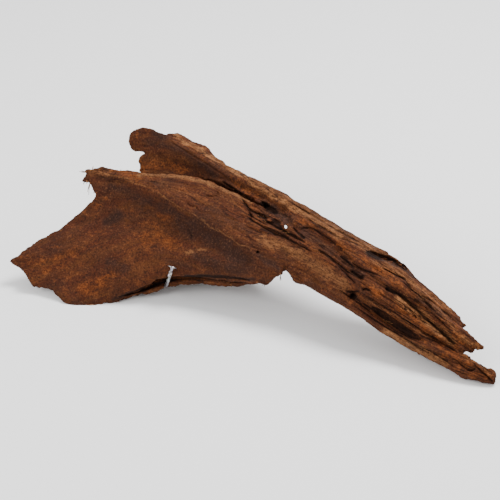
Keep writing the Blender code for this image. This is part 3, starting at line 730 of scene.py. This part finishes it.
RUST_TINTS = {
    "band_end": ([(337, 243), (343, 247)], 3, 0.9),
    "wing_low_left": ([(43, 270), (50, 271)], 4, 0.65),
    "wing_left_middle": ([(56, 257), (76, 252)], 5, 0.6),
    "wing_low_middle": ([(103, 277), (114, 275)], 4, 0.7),
    "fold": ([(184, 230), (187, 238)], 2.5, 0.7),
    "slot_rim": ([(384, 312), (404, 326), (426, 342)], 3, 0.6),
    "upper_stave": ([(404, 274), (424, 292), (450, 314), (466, 330)], 6, 0.4),
    "fin_band": ([(240, 178), (262, 190), (290, 206)], 4, 0.4),
    "under_eye": ([(366, 264), (384, 272), (400, 284)], 6, 0.6),
    "valley": ([(238, 184), (256, 196)], 5, 0.6),
    "lower_prong": ([(446, 352), (464, 362), (486, 376)], 8, 0.6),
    "upper_prong": ([(456, 336), (470, 344), (480, 348)], 6, 0.8),
    "middle_stave": ([(404, 310), (424, 325), (446, 343)], 5, 0.8),
    "wing_toe": ([(84, 290), (104, 282)], 10, 0.7),
    "wing_left": ([(30, 262), (60, 262), (80, 270)], 9, 0.5),
    "wing_heart": ([(146, 240), (160, 238), (174, 246)], 9, 0.7),
    "wing_heart_high": ([(160, 217), (172, 217)], 5, 0.6),
    "wing_upper_left": ([(92, 212), (104, 200)], 9, 0.3),
    "fin_left": ([(140, 168), (160, 166), (185, 172)], 8, 0.6),
    "lobe": ([(134, 140), (148, 132)], 6, 0.4),
    "ridge_left": ([(112, 172), (140, 176), (160, 178)], 6, 0.5),
    "band_root": ([(300, 220), (312, 226)], 6, 0.6),
    "shaft_middle": ([(364, 284), (380, 294)], 6, 0.7),
    "staves": ([(400, 304), (430, 326), (455, 345)], 8, 0.65),
    "prong": ([(440, 350), (468, 362), (490, 378)], 6, 0.5),
    "low_edge": ([(352, 300), (380, 318)], 4, 0.4),
}
# A tint ends at so many half widths from its line. Its edge is frayed by noise of that size.
TINT_REACH = 2.2
FRAY, FRAY_SIZE = 3.0, 9


def tinted(at, table):
    """How strongly the tints cover points of the window, from 0 to 1."""
    cover = np.zeros(len(at))
    for line, width, strength in table.values():
        inside, gap, _ = beside(at, line, TINT_POINTS, TINT_REACH * width)
        cover[inside] = np.maximum(cover[inside], strength * np.exp(-((gap / width) ** 2)))
    return cover


def keep(mesh, name, values):
    """Keeps a number or a vector for each of the mesh's points, under that name."""
    values = np.asarray(values, np.float32)
    kind, field = ("FLOAT", "value") if values.ndim == 1 else ("FLOAT_VECTOR", "vector")
    mesh.attributes.new(name, kind, "POINT").data.foreach_set(field, values.ravel())


def record_marks(mesh):
    """Keeps what the finish needs in the mesh: the grain's run, the marks' edges, inside which painted
    shade goes, and the tints.
    """
    points, out = coordinates(mesh), normals(mesh)
    at = seen(points)
    marked = facing_front(at, out)
    uncovered = facing_front(at, out, least=0.6)
    frayed = at.copy()
    for k in range(len(at)):
        frayed[k] += FRAY * noise.noise_vector(Vector(at[k] / FRAY_SIZE))
    keep(mesh, "grain", grain(at).astype(np.float32) * MM)
    # The marks' edges place the painted shade inside the deep marks.
    keep(mesh, "edge", (mark_gap(at)[0] * marked + MARK_REACH * (1 - marked)) / MARK_REACH)
    keep(mesh, "rough", roughness(at))
    for name, table in (("dark", DARK_AND_SHADE_TINTS), ("pale", PALE_AND_HIGHLIGHT_TINTS), ("rust", RUST_TINTS)):
        keep(mesh, name, tinted(frayed, table) * uncovered)


def srgb(red, green, blue):
    """A colour given as 0 to 255 on the screen, as the light that it stands for."""
    light = []
    for value in (red, green, blue):
        v = value / 255
        light.append(v / 12.92 if v <= 0.04045 else ((v + 0.055) / 1.055) ** 2.4)
    return (*light, 1.0)


def add(tree, kind, inputs=(), **settings):
    """A node with its settings, and its inputs set to values or linked from sockets."""
    made = tree.nodes.new(kind)
    for name, value in settings.items():
        setattr(made, name, value)
    for name, value in dict(inputs).items():
        socket = made.inputs[name]
        if isinstance(value, bpy.types.NodeSocket):
            tree.links.new(value, socket)
        else:
            socket.default_value = value
    return made


def first(tree, kind, inputs=(), **settings):
    """The first output of a new node."""
    return add(tree, kind, inputs, **settings).outputs[0]


def arithmetic(tree, operation, a, b, c=0.0):
    """The result of a sum, product or the like, of sockets and values."""
    return first(tree, "ShaderNodeMath", {0: a, 1: b, 2: c}, operation=operation)


def mixed(tree, share, a, b, blend="MIX"):
    """Colour a, with its share of colour b laid over it."""
    made = add(tree, "ShaderNodeMix", {0: share, 6: a, 7: b}, data_type="RGBA", blend_type=blend)
    return made.outputs[2]


def stretched_noise(tree, source, scale, detail=4.0, rough=0.6):
    """Noise on a vector socket, with its own scale along each axis."""
    mapped = first(tree, "ShaderNodeMapping", {"Vector": source, "Scale": scale})
    values = {"Vector": mapped, "Scale": 1.0, "Detail": detail, "Roughness": rough}
    return add(tree, "ShaderNodeTexNoise", values).outputs["Fac"]


def between(tree, value, low, high):
    """0 where the value is low, 1 where it is high, and smooth between."""
    values = {"Value": value, "From Min": low, "From Max": high}
    return first(tree, "ShaderNodeMapRange", values, interpolation_type="SMOOTHSTEP")


def new_finish(name):
    """A new material, its tree and its shader."""
    material = bpy.data.materials.new(name)
    material.use_nodes = True
    return material, material.node_tree, material.node_tree.nodes["Principled BSDF"]


# Colours of the wood and the zinc, as seen on a screen.
MID_BROWN = srgb(94, 52, 26)
RED_BROWN = srgb(80, 39, 21)
DARK_BROWN = srgb(38, 22, 15)
PURPLE_BROWN = srgb(52, 31, 24)
TAN = srgb(136, 90, 55)
ORANGE_BROWN = srgb(112, 58, 24)
# Near-black painted shade for the splits and the insides of the deep marks.
HOLLOW_SHADE_BROWN = srgb(24, 13, 9)
DULL_ZINC = srgb(115, 113, 113)
BRIGHT_ZINC = srgb(214, 212, 214)
DRY_SHEEN = 0.12


def wood_finish():
    """Dry old wood: streaks along the grain, dark patches, pale worn crests with painted highlights, and
    black cracks of painted shade.
    """
    material, tree, shader = new_finish("weathered_wood")

    def times(a, b):
        return arithmetic(tree, "MULTIPLY", a, b)

    def sloped(value, slope, start):
        """The value times the slope, on top of the start."""
        return arithmetic(tree, "MULTIPLY_ADD", value, slope, start)

    def spread(value, amount, middle):
        """A noise value's distance from 0.5, made larger or smaller, round another middle."""
        return sloped(arithmetic(tree, "SUBTRACT", value, 0.5), amount, middle)

    def share(value, low, high, most):
        """From 0 to most, as the value goes from low to high."""
        return times(between(tree, value, low, high), most)

    def cover(tint, ragged, low, high):
        """A tint's share, with an edge that follows the noise."""
        return between(tree, sloped(ragged, 1.1, tint), low + 0.55, high + 0.55)

    run = add(tree, "ShaderNodeAttribute", attribute_name="grain").outputs["Vector"]
    edge, rough, dark, pale, rust = (
        add(tree, "ShaderNodeAttribute", attribute_name=name).outputs["Fac"]
        for name in ("edge", "rough", "dark", "pale", "rust")
    )
    spot = add(tree, "ShaderNodeTexCoord").outputs["Object"]

    # The skin's noises, from broad to fine, and those that run along the grain.
    cloud = stretched_noise(tree, spot, (30, 30, 30))
    patch = stretched_noise(tree, spot, (130, 130, 130), detail=3, rough=0.55)
    mottle = stretched_noise(tree, spot, (130, 130, 130), detail=9, rough=0.74)
    mottle = spread(mottle, 1.5, 0.5)
    grit = stretched_noise(tree, spot, (520, 520, 520), detail=5, rough=0.85)
    streak = stretched_noise(tree, run, (380, 22, 60))
    fibre = stretched_noise(tree, run, (1100, 75, 220), detail=5, rough=0.7)

    # Long splits between the cells of a pattern that is drawn out along the grain, darkened with painted
    # shade.
    wave = first(tree, "ShaderNodeMapping", {"Vector": run, "Scale": (300, 14, 34)})
    bend = add(tree, "ShaderNodeTexNoise", {"Vector": wave, "Scale": 1.6, "Detail": 4.0}).outputs["Color"]
    shift = {0: bend, 1: (0.8,) * 3, 2: wave}
    warped = first(tree, "ShaderNodeVectorMath", shift, operation="MULTIPLY_ADD")
    cells = {"Vector": warped, "Scale": 1.0}
    gap = add(tree, "ShaderNodeTexVoronoi", cells, feature="DISTANCE_TO_EDGE").outputs["Distance"]
    split = times(between(tree, gap, 0.055, 0.0), between(tree, streak, 0.56, 0.44))
    split = times(split, between(tree, rough, 0.15, 0.7))
    # The insides of the deep marks, found from their edges and frayed along the fibres: painted shade
    # darkens them.
    hollow = between(tree, spread(fibre, 0.55, edge), 0.1, -0.12)

    # The layers of colour over the streaks, from the lowest up: each one's share and colour.
    blotch = sloped(cloud, 0.6, times(mottle, 0.6))
    lines = between(tree, fibre, 0.56, 0.34)
    layers = (
        (share(blotch, 0.53, 0.76, 0.75), PURPLE_BROWN),
        (share(patch, 0.52, 0.68, 0.4), ORANGE_BROWN),
        (cover(rust, mottle, 0.2, 0.9), ORANGE_BROWN),
        # The dark tints: stains, and painted shade in hollows, grooves, the fold, the lip's gap, under
        # crests and at the wing's foot.
        (cover(dark, mottle, 0.2, 1.0), PURPLE_BROWN),
        # The pale tints: paler wood, and painted highlights along crests and edges.
        (cover(pale, fibre, 0.25, 1.0), TAN),
        (times(lines, sloped(rough, 0.75, 0.2)), DARK_BROWN),
        (share(grit, 0.52, 0.38, 0.85), DARK_BROWN),
        (share(grit, 0.54, 0.68, 0.45), TAN),
        # Painted shade: the splits and the insides of the deep marks turn near-black.
        (times(split, 0.85), HOLLOW_SHADE_BROWN),
        (times(hollow, 0.8), HOLLOW_SHADE_BROWN),
    )
    colour = mixed(tree, between(tree, streak, 0.38, 0.62), RED_BROWN, MID_BROWN)
    for amount, tint in layers:
        colour = mixed(tree, amount, colour, tint)
    for tone in (sloped(rough, 0.6, 0.7), sloped(patch, 1.3, 0.38)):
        colour = mixed(tree, 1.0, colour, tone, "MULTIPLY")
    tree.links.new(colour, shader.inputs["Base Color"])
    shader.inputs["Specular IOR Level"].default_value = DRY_SHEEN
    tree.links.new(sloped(cloud, 0.2, 0.78), shader.inputs["Roughness"])

    relief = times(sloped(rough, 0.9, 0.15), fibre)
    for pattern, height in ((grit, 0.45), (mottle, 0.5), (split, -0.7), (hollow, -0.8)):
        relief = sloped(pattern, height, relief)
    bump = first(tree, "ShaderNodeBump", {"Height": relief, "Strength": 1.0, "Distance": 1.4 * MM})
    tree.links.new(bump, shader.inputs["Normal"])
    return material


# The nail's middle line, from its head's top to its point, in the window.
NAIL_LINE = [
    (172.4, 266.6, -0.2), (171.2, 270.5, -1.4), (169.8, 274.8, -2.8), (168.6, 278.6, -5.2),
    (167.6, 281.4, -10.3), (166.8, 283.4, -17.0), (166.3, 284.8, -23.0), (165.9, 285.6, -29.0),
    (165.7, 285.9, -32.5),
]
# The points that the line is cut into, where the shank starts, and the one that the head faces away from.
NAIL_POINTS = 160
SHANK_START = 6
HEAD_WAY = 8
# Slices of the head, in millimetres: how far down the line, and their radius.
NAIL_HEAD = [(0.0, 4.0), (0.12, 4.5), (0.35, 4.65), (0.75, 4.6), (1.05, 3.7), (1.4, 2.0), (2.4, 1.4)]
HEAD_SIDES = 40
HEAD_DENT = 0.02
NAIL_REACH = 1.6 * MM
NAIL_FLATNESS = 0.68
NAIL_TWIST = 330.0  # radians a metre
# Thickness of the shank at shares of its length, against the middle one.
NAIL_SWELL = [(0, 0.85), (0.12, 0.95), (0.25, 1.3), (0.5, 1.45), (0.7, 1.0), (1, 1.0)]


def galvanised_finish():
    """Zinc on steel: dull grey, with faint crystals and darker stains."""
    material, tree, shader = new_finish("galvanised_steel")
    spot = add(tree, "ShaderNodeTexCoord").outputs["Object"]
    stain = stretched_noise(tree, spot, (500, 500, 500), detail=5)
    crystal = add(tree, "ShaderNodeTexVoronoi", {"Vector": spot, "Scale": 900.0}).outputs["Color"]
    colour = mixed(tree, between(tree, stain, 0.35, 0.65), DULL_ZINC, BRIGHT_ZINC)
    colour = mixed(tree, 0.25, colour, crystal, "SOFT_LIGHT")
    tree.links.new(colour, shader.inputs["Base Color"])
    shader.inputs["Metallic"].default_value = 1.0
    tree.links.new(arithmetic(tree, "MULTIPLY_ADD", stain, 0.3, 0.15), shader.inputs["Roughness"])
    bump = first(tree, "ShaderNodeBump", {"Height": stain, "Strength": 0.4, "Distance": 0.2 * MM})
    tree.links.new(bump, shader.inputs["Normal"])
    return material


def geometry_tree(name, sockets):
    """An empty geometry tree with a mesh or curve in, those named inputs, and a mesh out."""
    tree = bpy.data.node_groups.new(name, "GeometryNodeTree")
    tree.interface.new_socket("Geometry", in_out="INPUT", socket_type="NodeSocketGeometry")
    for label, kind in sockets.items():
        tree.interface.new_socket(label, in_out="INPUT", socket_type=kind)
    tree.interface.new_socket("Geometry", in_out="OUTPUT", socket_type="NodeSocketGeometry")
    return tree, tree.nodes.new("NodeGroupInput").outputs


def run_tree(obj, tree, values):
    """Puts the tree on the object with those inputs, and keeps the plain mesh that it makes."""
    modifier = obj.modifiers.new(tree.name, "NODES")
    modifier.node_group = tree
    for item in tree.interface.items_tree:
        if item.in_out == "INPUT" and item.name in values:
            modifier[item.identifier] = values[item.name]
    mesh, name = plain_mesh(obj), obj.name
    obj.modifiers.remove(modifier)
    bpy.data.objects.remove(obj)
    return new_object(name, mesh)


def shank_tree():
    """A rounded bar, swept along the nail's line and turned as it goes, with a tapered point."""
    tree, given = geometry_tree(
        "twisted_shank",
        {"Side": "NodeSocketFloat", "Twist": "NodeSocketFloat", "Material": "NodeSocketMaterial"},
    )
    along = add(tree, "GeometryNodeSplineParameter").outputs
    turn = arithmetic(tree, "MULTIPLY", along["Length"], given["Twist"])
    tilted = first(tree, "GeometryNodeSetCurveTilt", {"Curve": given["Geometry"], "Tilt": turn})
    point = {"Value": along["Factor"], "From Min": 0.93, "From Max": 1.0, "To Min": 1.0, "To Max": 0.12}
    thick = first(tree, "GeometryNodeInputRadius")
    radius = arithmetic(tree, "MULTIPLY", thick, first(tree, "ShaderNodeMapRange", point))
    slim = first(tree, "GeometryNodeSetCurveRadius", {"Curve": tilted, "Radius": radius})
    height = arithmetic(tree, "MULTIPLY", given["Side"], NAIL_FLATNESS)
    sides = {"Width": given["Side"], "Height": height}
    square = first(tree, "GeometryNodeCurvePrimitiveQuadrilateral", sides)
    corner = arithmetic(tree, "MULTIPLY", given["Side"], 0.1)
    fillet = {"Curve": square, "Radius": corner, "Count": 4}
    profile = first(tree, "GeometryNodeFilletCurve", fillet, mode="POLY")
    sweep = {"Curve": slim, "Profile Curve": profile, "Fill Caps": True}
    swept = first(tree, "GeometryNodeCurveToMesh", sweep)
    real = first(tree, "GeometryNodeRealizeInstances", {"Geometry": swept})
    painted = first(tree, "GeometryNodeSetMaterial", {"Geometry": real, "Material": given["Material"]})
    add(tree, "NodeGroupOutput", {"Geometry": painted})
    return tree


def nail_head(line):
    """The hammered head at the start of the nail's line, lofted through its slices, as a bmesh."""
    way = line[HEAD_WAY] - line[0]
    way -= towards_viewer() * (way @ towards_viewer())
    way /= np.linalg.norm(way)
    side = np.cross(way, towards_viewer())
    side /= np.linalg.norm(side)
    up = np.cross(way, side)
    bm = bmesh.new()
    rings = []
    for distance, radius in NAIL_HEAD:
        middle = line[0] + way * distance * MM
        ring = []
        for turn in np.arange(HEAD_SIDES) * 2 * math.pi / HEAD_SIDES:
            dent = 1 + HEAD_DENT * math.sin(3 * turn + 1)
            spoke = side * math.cos(turn) + up * math.sin(turn)
            ring.append(bm.verts.new(middle + spoke * radius * dent * MM))
        rings.append(ring)
    for low, high in zip(rings, rings[1:]):
        for k in range(HEAD_SIDES):
            after = (k + 1) % HEAD_SIDES
            bm.faces.new((low[k], low[after], high[after], high[k]))
    bm.faces.new(rings[0][::-1])
    bm.faces.new(rings[-1])
    bmesh.ops.recalc_face_normals(bm, faces=bm.faces)
    return bm


def nail_piece(material):
    """The nail: its shank is swept by a tree, and its head is joined to it."""
    line = place(rounded(NAIL_LINE, NAIL_POINTS))
    path = line[SHANK_START:]
    curve = bpy.data.curves.new("nail_line", "CURVE")
    curve.dimensions = "3D"
    spline = curve.splines.new("POLY")
    spline.points.add(len(path) - 1)
    spline.points.foreach_set("co", np.hstack([path, np.ones((len(path), 1))]).ravel())
    swell = np.interp(np.linspace(0, 1, len(path)), *np.array(NAIL_SWELL).T)
    spline.points.foreach_set("radius", swell)
    shank = run_tree(
        new_object("nail_shank", curve), shank_tree(),
        {"Side": 2 * NAIL_REACH, "Twist": NAIL_TWIST, "Material": material},
    )
    nail = new_object("bent_nail", mesh_from(nail_head(line), "bent_nail"))
    nail.data.materials.append(material)
    weld = nail.modifiers.new("weld", "BOOLEAN")
    weld.operation = "UNION"
    weld.object = shank
    settle(nail)
    bpy.data.objects.remove(shank)
    return nail


# Torn fibres and loose hairs: a spot that carries them, the way they point in the window, how many,
# how widely their roots and directions spread, and their length and thickness in millimetres.
TUFTS = {
    "corner_hairs": ((87, 172), (-5, -0.8, 0), 6, 1.0, 0.25, 8.0, 0.6),
    "corner_upper": ((91, 171), (1, -3, 0), 4, 2.0, 0.4, 5.0, 0.5),
    "corner_crown": ((101, 168.6), (-2, -1, 1), 9, 3.0, 0.6, 2.6, 0.4),
    "corner_lower": ((87, 181), (-1, 3, 1), 6, 2.0, 0.5, 4.0, 0.5),
    "corner_hanging": ((90, 182), (-0.6, 5, 0), 3, 0.8, 0.12, 12.0, 0.6),
    "corner_side": ((95.5, 192), (-2, 2, 1), 4, 1.5, 0.4, 2.0, 0.4),
    "ridge_top": ((121, 170.5), (-1, -2, 0), 2, 0.6, 0.3, 1.6, 0.3),
    "fin_notch": ((142.5, 156.6), (-4, -0.4, 0), 4, 0.8, 0.3, 3.0, 0.45),
    "lobe_edge": ((135, 150), (-1, 2, 0), 4, 1.6, 0.5, 1.8, 0.4),
    "step": ((61.5, 230.5), (-3, 0, 0), 4, 1.2, 0.4, 2.2, 0.4),
    "toe": ((92, 305), (5, 1, 0), 6, 1.6, 0.2, 6.0, 0.7),
    "under_toe": ((118, 302), (3, 2, 0), 5, 3.0, 0.4, 2.6, 0.4),
    "lip_hair": ((256.5, 281.5), (0.4, 3, 0), 3, 0.6, 0.2, 5.5, 0.6),
    "lip_hair_right": ((265, 283.5), (0.6, 3, 0), 5, 1.0, 0.7, 4.0, 0.55),
    "lip_end": ((231, 285), (1, 3, 0), 5, 2.2, 0.5, 2.8, 0.45),
    "notch_hair": ((280.5, 273), (0.3, 5, 0), 3, 0.5, 0.1, 9.0, 0.6),
    "notch_rim": ((279, 271), (1, 2, 0), 5, 2.5, 0.5, 2.2, 0.35),
    "ridge_flakes": ((196, 208), (2, 3, 2), 8, 3.5, 0.5, 2.6, 0.5),
    "ridge_line": ((222, 231), (-3, 2, 2), 8, 8.0, 0.3, 2.6, 0.35),
    "rot_upper": ((262, 216), (4, 2.4, 1), 14, 7.0, 0.35, 5.0, 0.5),
    "rot_lower": ((284, 232), (4, 2.4, 1), 16, 8.0, 0.35, 6.0, 0.5),
    "rot_hole": ((288, 224), (-3, 2, 1), 5, 1.5, 0.5, 2.2, 0.4),
    "band_end": ((348, 268), (4, 2.6, 1), 10, 5.0, 0.3, 5.0, 0.5),
    "slot_edge": ((384, 322), (5, 3, 1), 8, 6.0, 0.2, 6.0, 0.5),
    "groove_edge": ((420, 316), (5, 3.6, 1), 12, 14.0, 0.2, 7.0, 0.5),
    "upper_tip": ((476, 347), (4, 2.5, 0), 7, 2.2, 0.25, 4.0, 0.6),
    "upper_step": ((462, 326), (4, 1, 0), 5, 1.5, 0.3, 3.5, 0.5),
    "prong_tip": ((489, 375), (4, 2, 0), 9, 3.0, 0.3, 3.6, 0.6),
    "prong_under": ((470, 375), (3, 3, 0), 6, 4.0, 0.4, 2.4, 0.45),
    "prong_notch": ((466, 356), (4, -1, 0), 5, 1.5, 0.4, 2.6, 0.45),
}
FIBRE_SEED = 7
# How far from its spot a hair may be rooted, how deep, and how far it strays, in millimetres.
HAIR_SEARCH = 12.0
HAIR_SUNK = 0.3
HAIR_BEND = 1.4
HAIR_LENGTHS = (0.5, 1.1)
HAIR_WIDTHS = (0.6, 1.0)
HAIR_FLATNESS = 0.7


def fibre_tree():
    """A tapered fibre at each point, laid along the point's own way, with its own length and thickness."""
    tree, given = geometry_tree(
        "torn_fibres",
        {
            "Sides": "NodeSocketInt", "Steps": "NodeSocketInt", "Bend": "NodeSocketFloat",
            "Material": "NodeSocketMaterial",
        },
    )
    way, size = (
        first(tree, "GeometryNodeInputNamedAttribute", {"Name": name}, data_type="FLOAT_VECTOR")
        for name in ("way", "size")
    )
    spots = first(tree, "GeometryNodeMeshToPoints", {"Mesh": given["Geometry"]})
    shape = {
        "Vertices": given["Sides"], "Side Segments": given["Steps"], "Radius Top": 0.35,
        "Radius Bottom": 1.0, "Depth": 1.0,
    }
    cone = first(tree, "GeometryNodeMeshCone", shape)
    aimed = first(tree, "FunctionNodeAlignRotationToVector", {"Vector": way}, axis="Z")
    each = {"Points": spots, "Instance": cone, "Rotation": aimed, "Scale": size}
    laid = first(tree, "GeometryNodeInstanceOnPoints", each)
    real = first(tree, "GeometryNodeRealizeInstances", {"Geometry": laid})
    spot = first(tree, "GeometryNodeInputPosition")
    ripple = add(tree, "ShaderNodeTexNoise", {"Vector": spot, "Scale": 260.0, "Detail": 1.0})
    middle = {0: ripple.outputs["Color"], 1: (0.5,) * 3}
    centred = first(tree, "ShaderNodeVectorMath", middle, operation="SUBTRACT")
    moved = first(tree, "ShaderNodeVectorMath", {0: centred, "Scale": given["Bend"]}, operation="SCALE")
    bent = first(tree, "GeometryNodeSetPosition", {"Geometry": real, "Offset": moved})
    painted = first(tree, "GeometryNodeSetMaterial", {"Geometry": bent, "Material": given["Material"]})
    add(tree, "NodeGroupOutput", {"Geometry": painted})
    return tree


def fibre_piece(wood, material):
    """The torn fibres, each rooted in the wood's skin."""
    surface = BVHTree.FromObject(wood, bpy.context.evaluated_depsgraph_get())
    draw = random.Random(FIBRE_SEED)
    roots, ways, sizes = [], [], []
    for (u, v), way, count, spread, fan, length, thick in TUFTS.values():
        for _ in range(count):
            lean = [w / np.linalg.norm(way) + draw.gauss(0, fan) for w in way]
            spot = np.array((u + draw.gauss(0, spread / 2), v + draw.gauss(0, spread / 4)))
            hit = struck(surface, spot)
            while hit is None and math.dist(spot, (u, v)) < HAIR_SEARCH:
                spot -= np.array(way[:2]) / np.linalg.norm(way)
                hit = struck(surface, spot)
            if hit is None:
                continue
            root = np.array((*spot, hit - HAIR_SUNK))
            roots.append(place(root)[0])
            ways.append(place(root + lean)[0] - place(root)[0])
            reach = length * draw.uniform(*HAIR_LENGTHS)
            width = thick * draw.uniform(*HAIR_WIDTHS)
            sizes.append((width * MM, width * MM * HAIR_FLATNESS, reach * MM))
    mesh = bpy.data.meshes.new("fibre_roots")
    mesh.from_pydata([tuple(root) for root in roots], [], [])
    keep(mesh, "way", ways)
    keep(mesh, "size", sizes)
    fibres = run_tree(
        new_object("torn_fibres", mesh), fibre_tree(),
        {"Sides": 5, "Steps": 4, "Bend": HAIR_BEND * MM, "Material": material},
    )
    move_to(fibres.data, np.clip(coordinates(fibres.data), *np.array(cad_box)))
    return fibres


def fibre_finish():
    """Loose wood fibre, a little paler than the piece."""
    material, tree, shader = new_finish("fibre")
    spot = add(tree, "ShaderNodeTexCoord").outputs["Object"]
    change = stretched_noise(tree, spot, (300, 300, 300), detail=2)
    colour = mixed(tree, between(tree, change, 0.4, 0.6), DARK_BROWN, TAN)
    tree.links.new(colour, shader.inputs["Base Color"])
    shader.inputs["Specular IOR Level"].default_value = DRY_SHEEN
    shader.inputs["Roughness"].default_value = 0.85
    return material


def floor_and_light():
    """A pale floor, and the soft light of a studio."""
    bm = bmesh.new()
    bmesh.ops.create_grid(bm, x_segments=1, y_segments=1, size=3.0)
    floor = new_object("studio_floor", mesh_from(bm, "studio_floor"))
    paint, _, shader = new_finish("floor_paint")
    shader.inputs["Base Color"].default_value = (0.9, 0.9, 0.9, 1)
    shader.inputs["Roughness"].default_value = 0.9
    floor.data.materials.append(paint)

    world = bpy.data.worlds.new("studio")
    bpy.context.scene.world = world
    world.use_nodes = True
    sky = world.node_tree.nodes["Background"].inputs
    sky["Color"].default_value = (1, 1, 1, 1)
    sky["Strength"].default_value = 1.0
    for name, spot, size, power in (
        ("key_light", (0.5, 0.6, 1.7), 0.9, 48.0),
        ("fill_light", (-0.9, -1.6, 1.2), 1.2, 30.0),
    ):
        lamp = bpy.data.lights.new(name, "AREA")
        lamp.shape = "DISK"
        lamp.size = size
        lamp.energy = power
        light = new_object(name, lamp)
        light.location = spot
        light.rotation_euler = Vector(spot).to_track_quat("Z", "Y").to_euler()


def camera():
    """The viewpoint that the window was laid out from."""
    lens = bpy.data.cameras.new("viewpoint")
    lens.sensor_width = 36.0
    lens.lens = lens.sensor_width * EYE_DISTANCE / WINDOW
    lens.clip_start = 0.05
    view = new_object("viewpoint", lens)
    away = towards_viewer()
    view.location = place((WINDOW / 2, WINDOW / 2, 0))[0] + away * EYE_DISTANCE * MM
    view.rotation_euler = Vector(away).to_track_quat("Z", "Y").to_euler()
    bpy.context.scene.camera = view


wood = wood_piece()
wood.data.materials.clear()
wood.data.materials.append(wood_finish())
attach(wood, "root")
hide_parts("driftwood")

fibres = fibre_piece(wood, fibre_finish())
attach(fibres, "root")

nail = nail_piece(galvanised_finish())
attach(nail, "root")
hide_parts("nail")

floor_and_light()
camera()
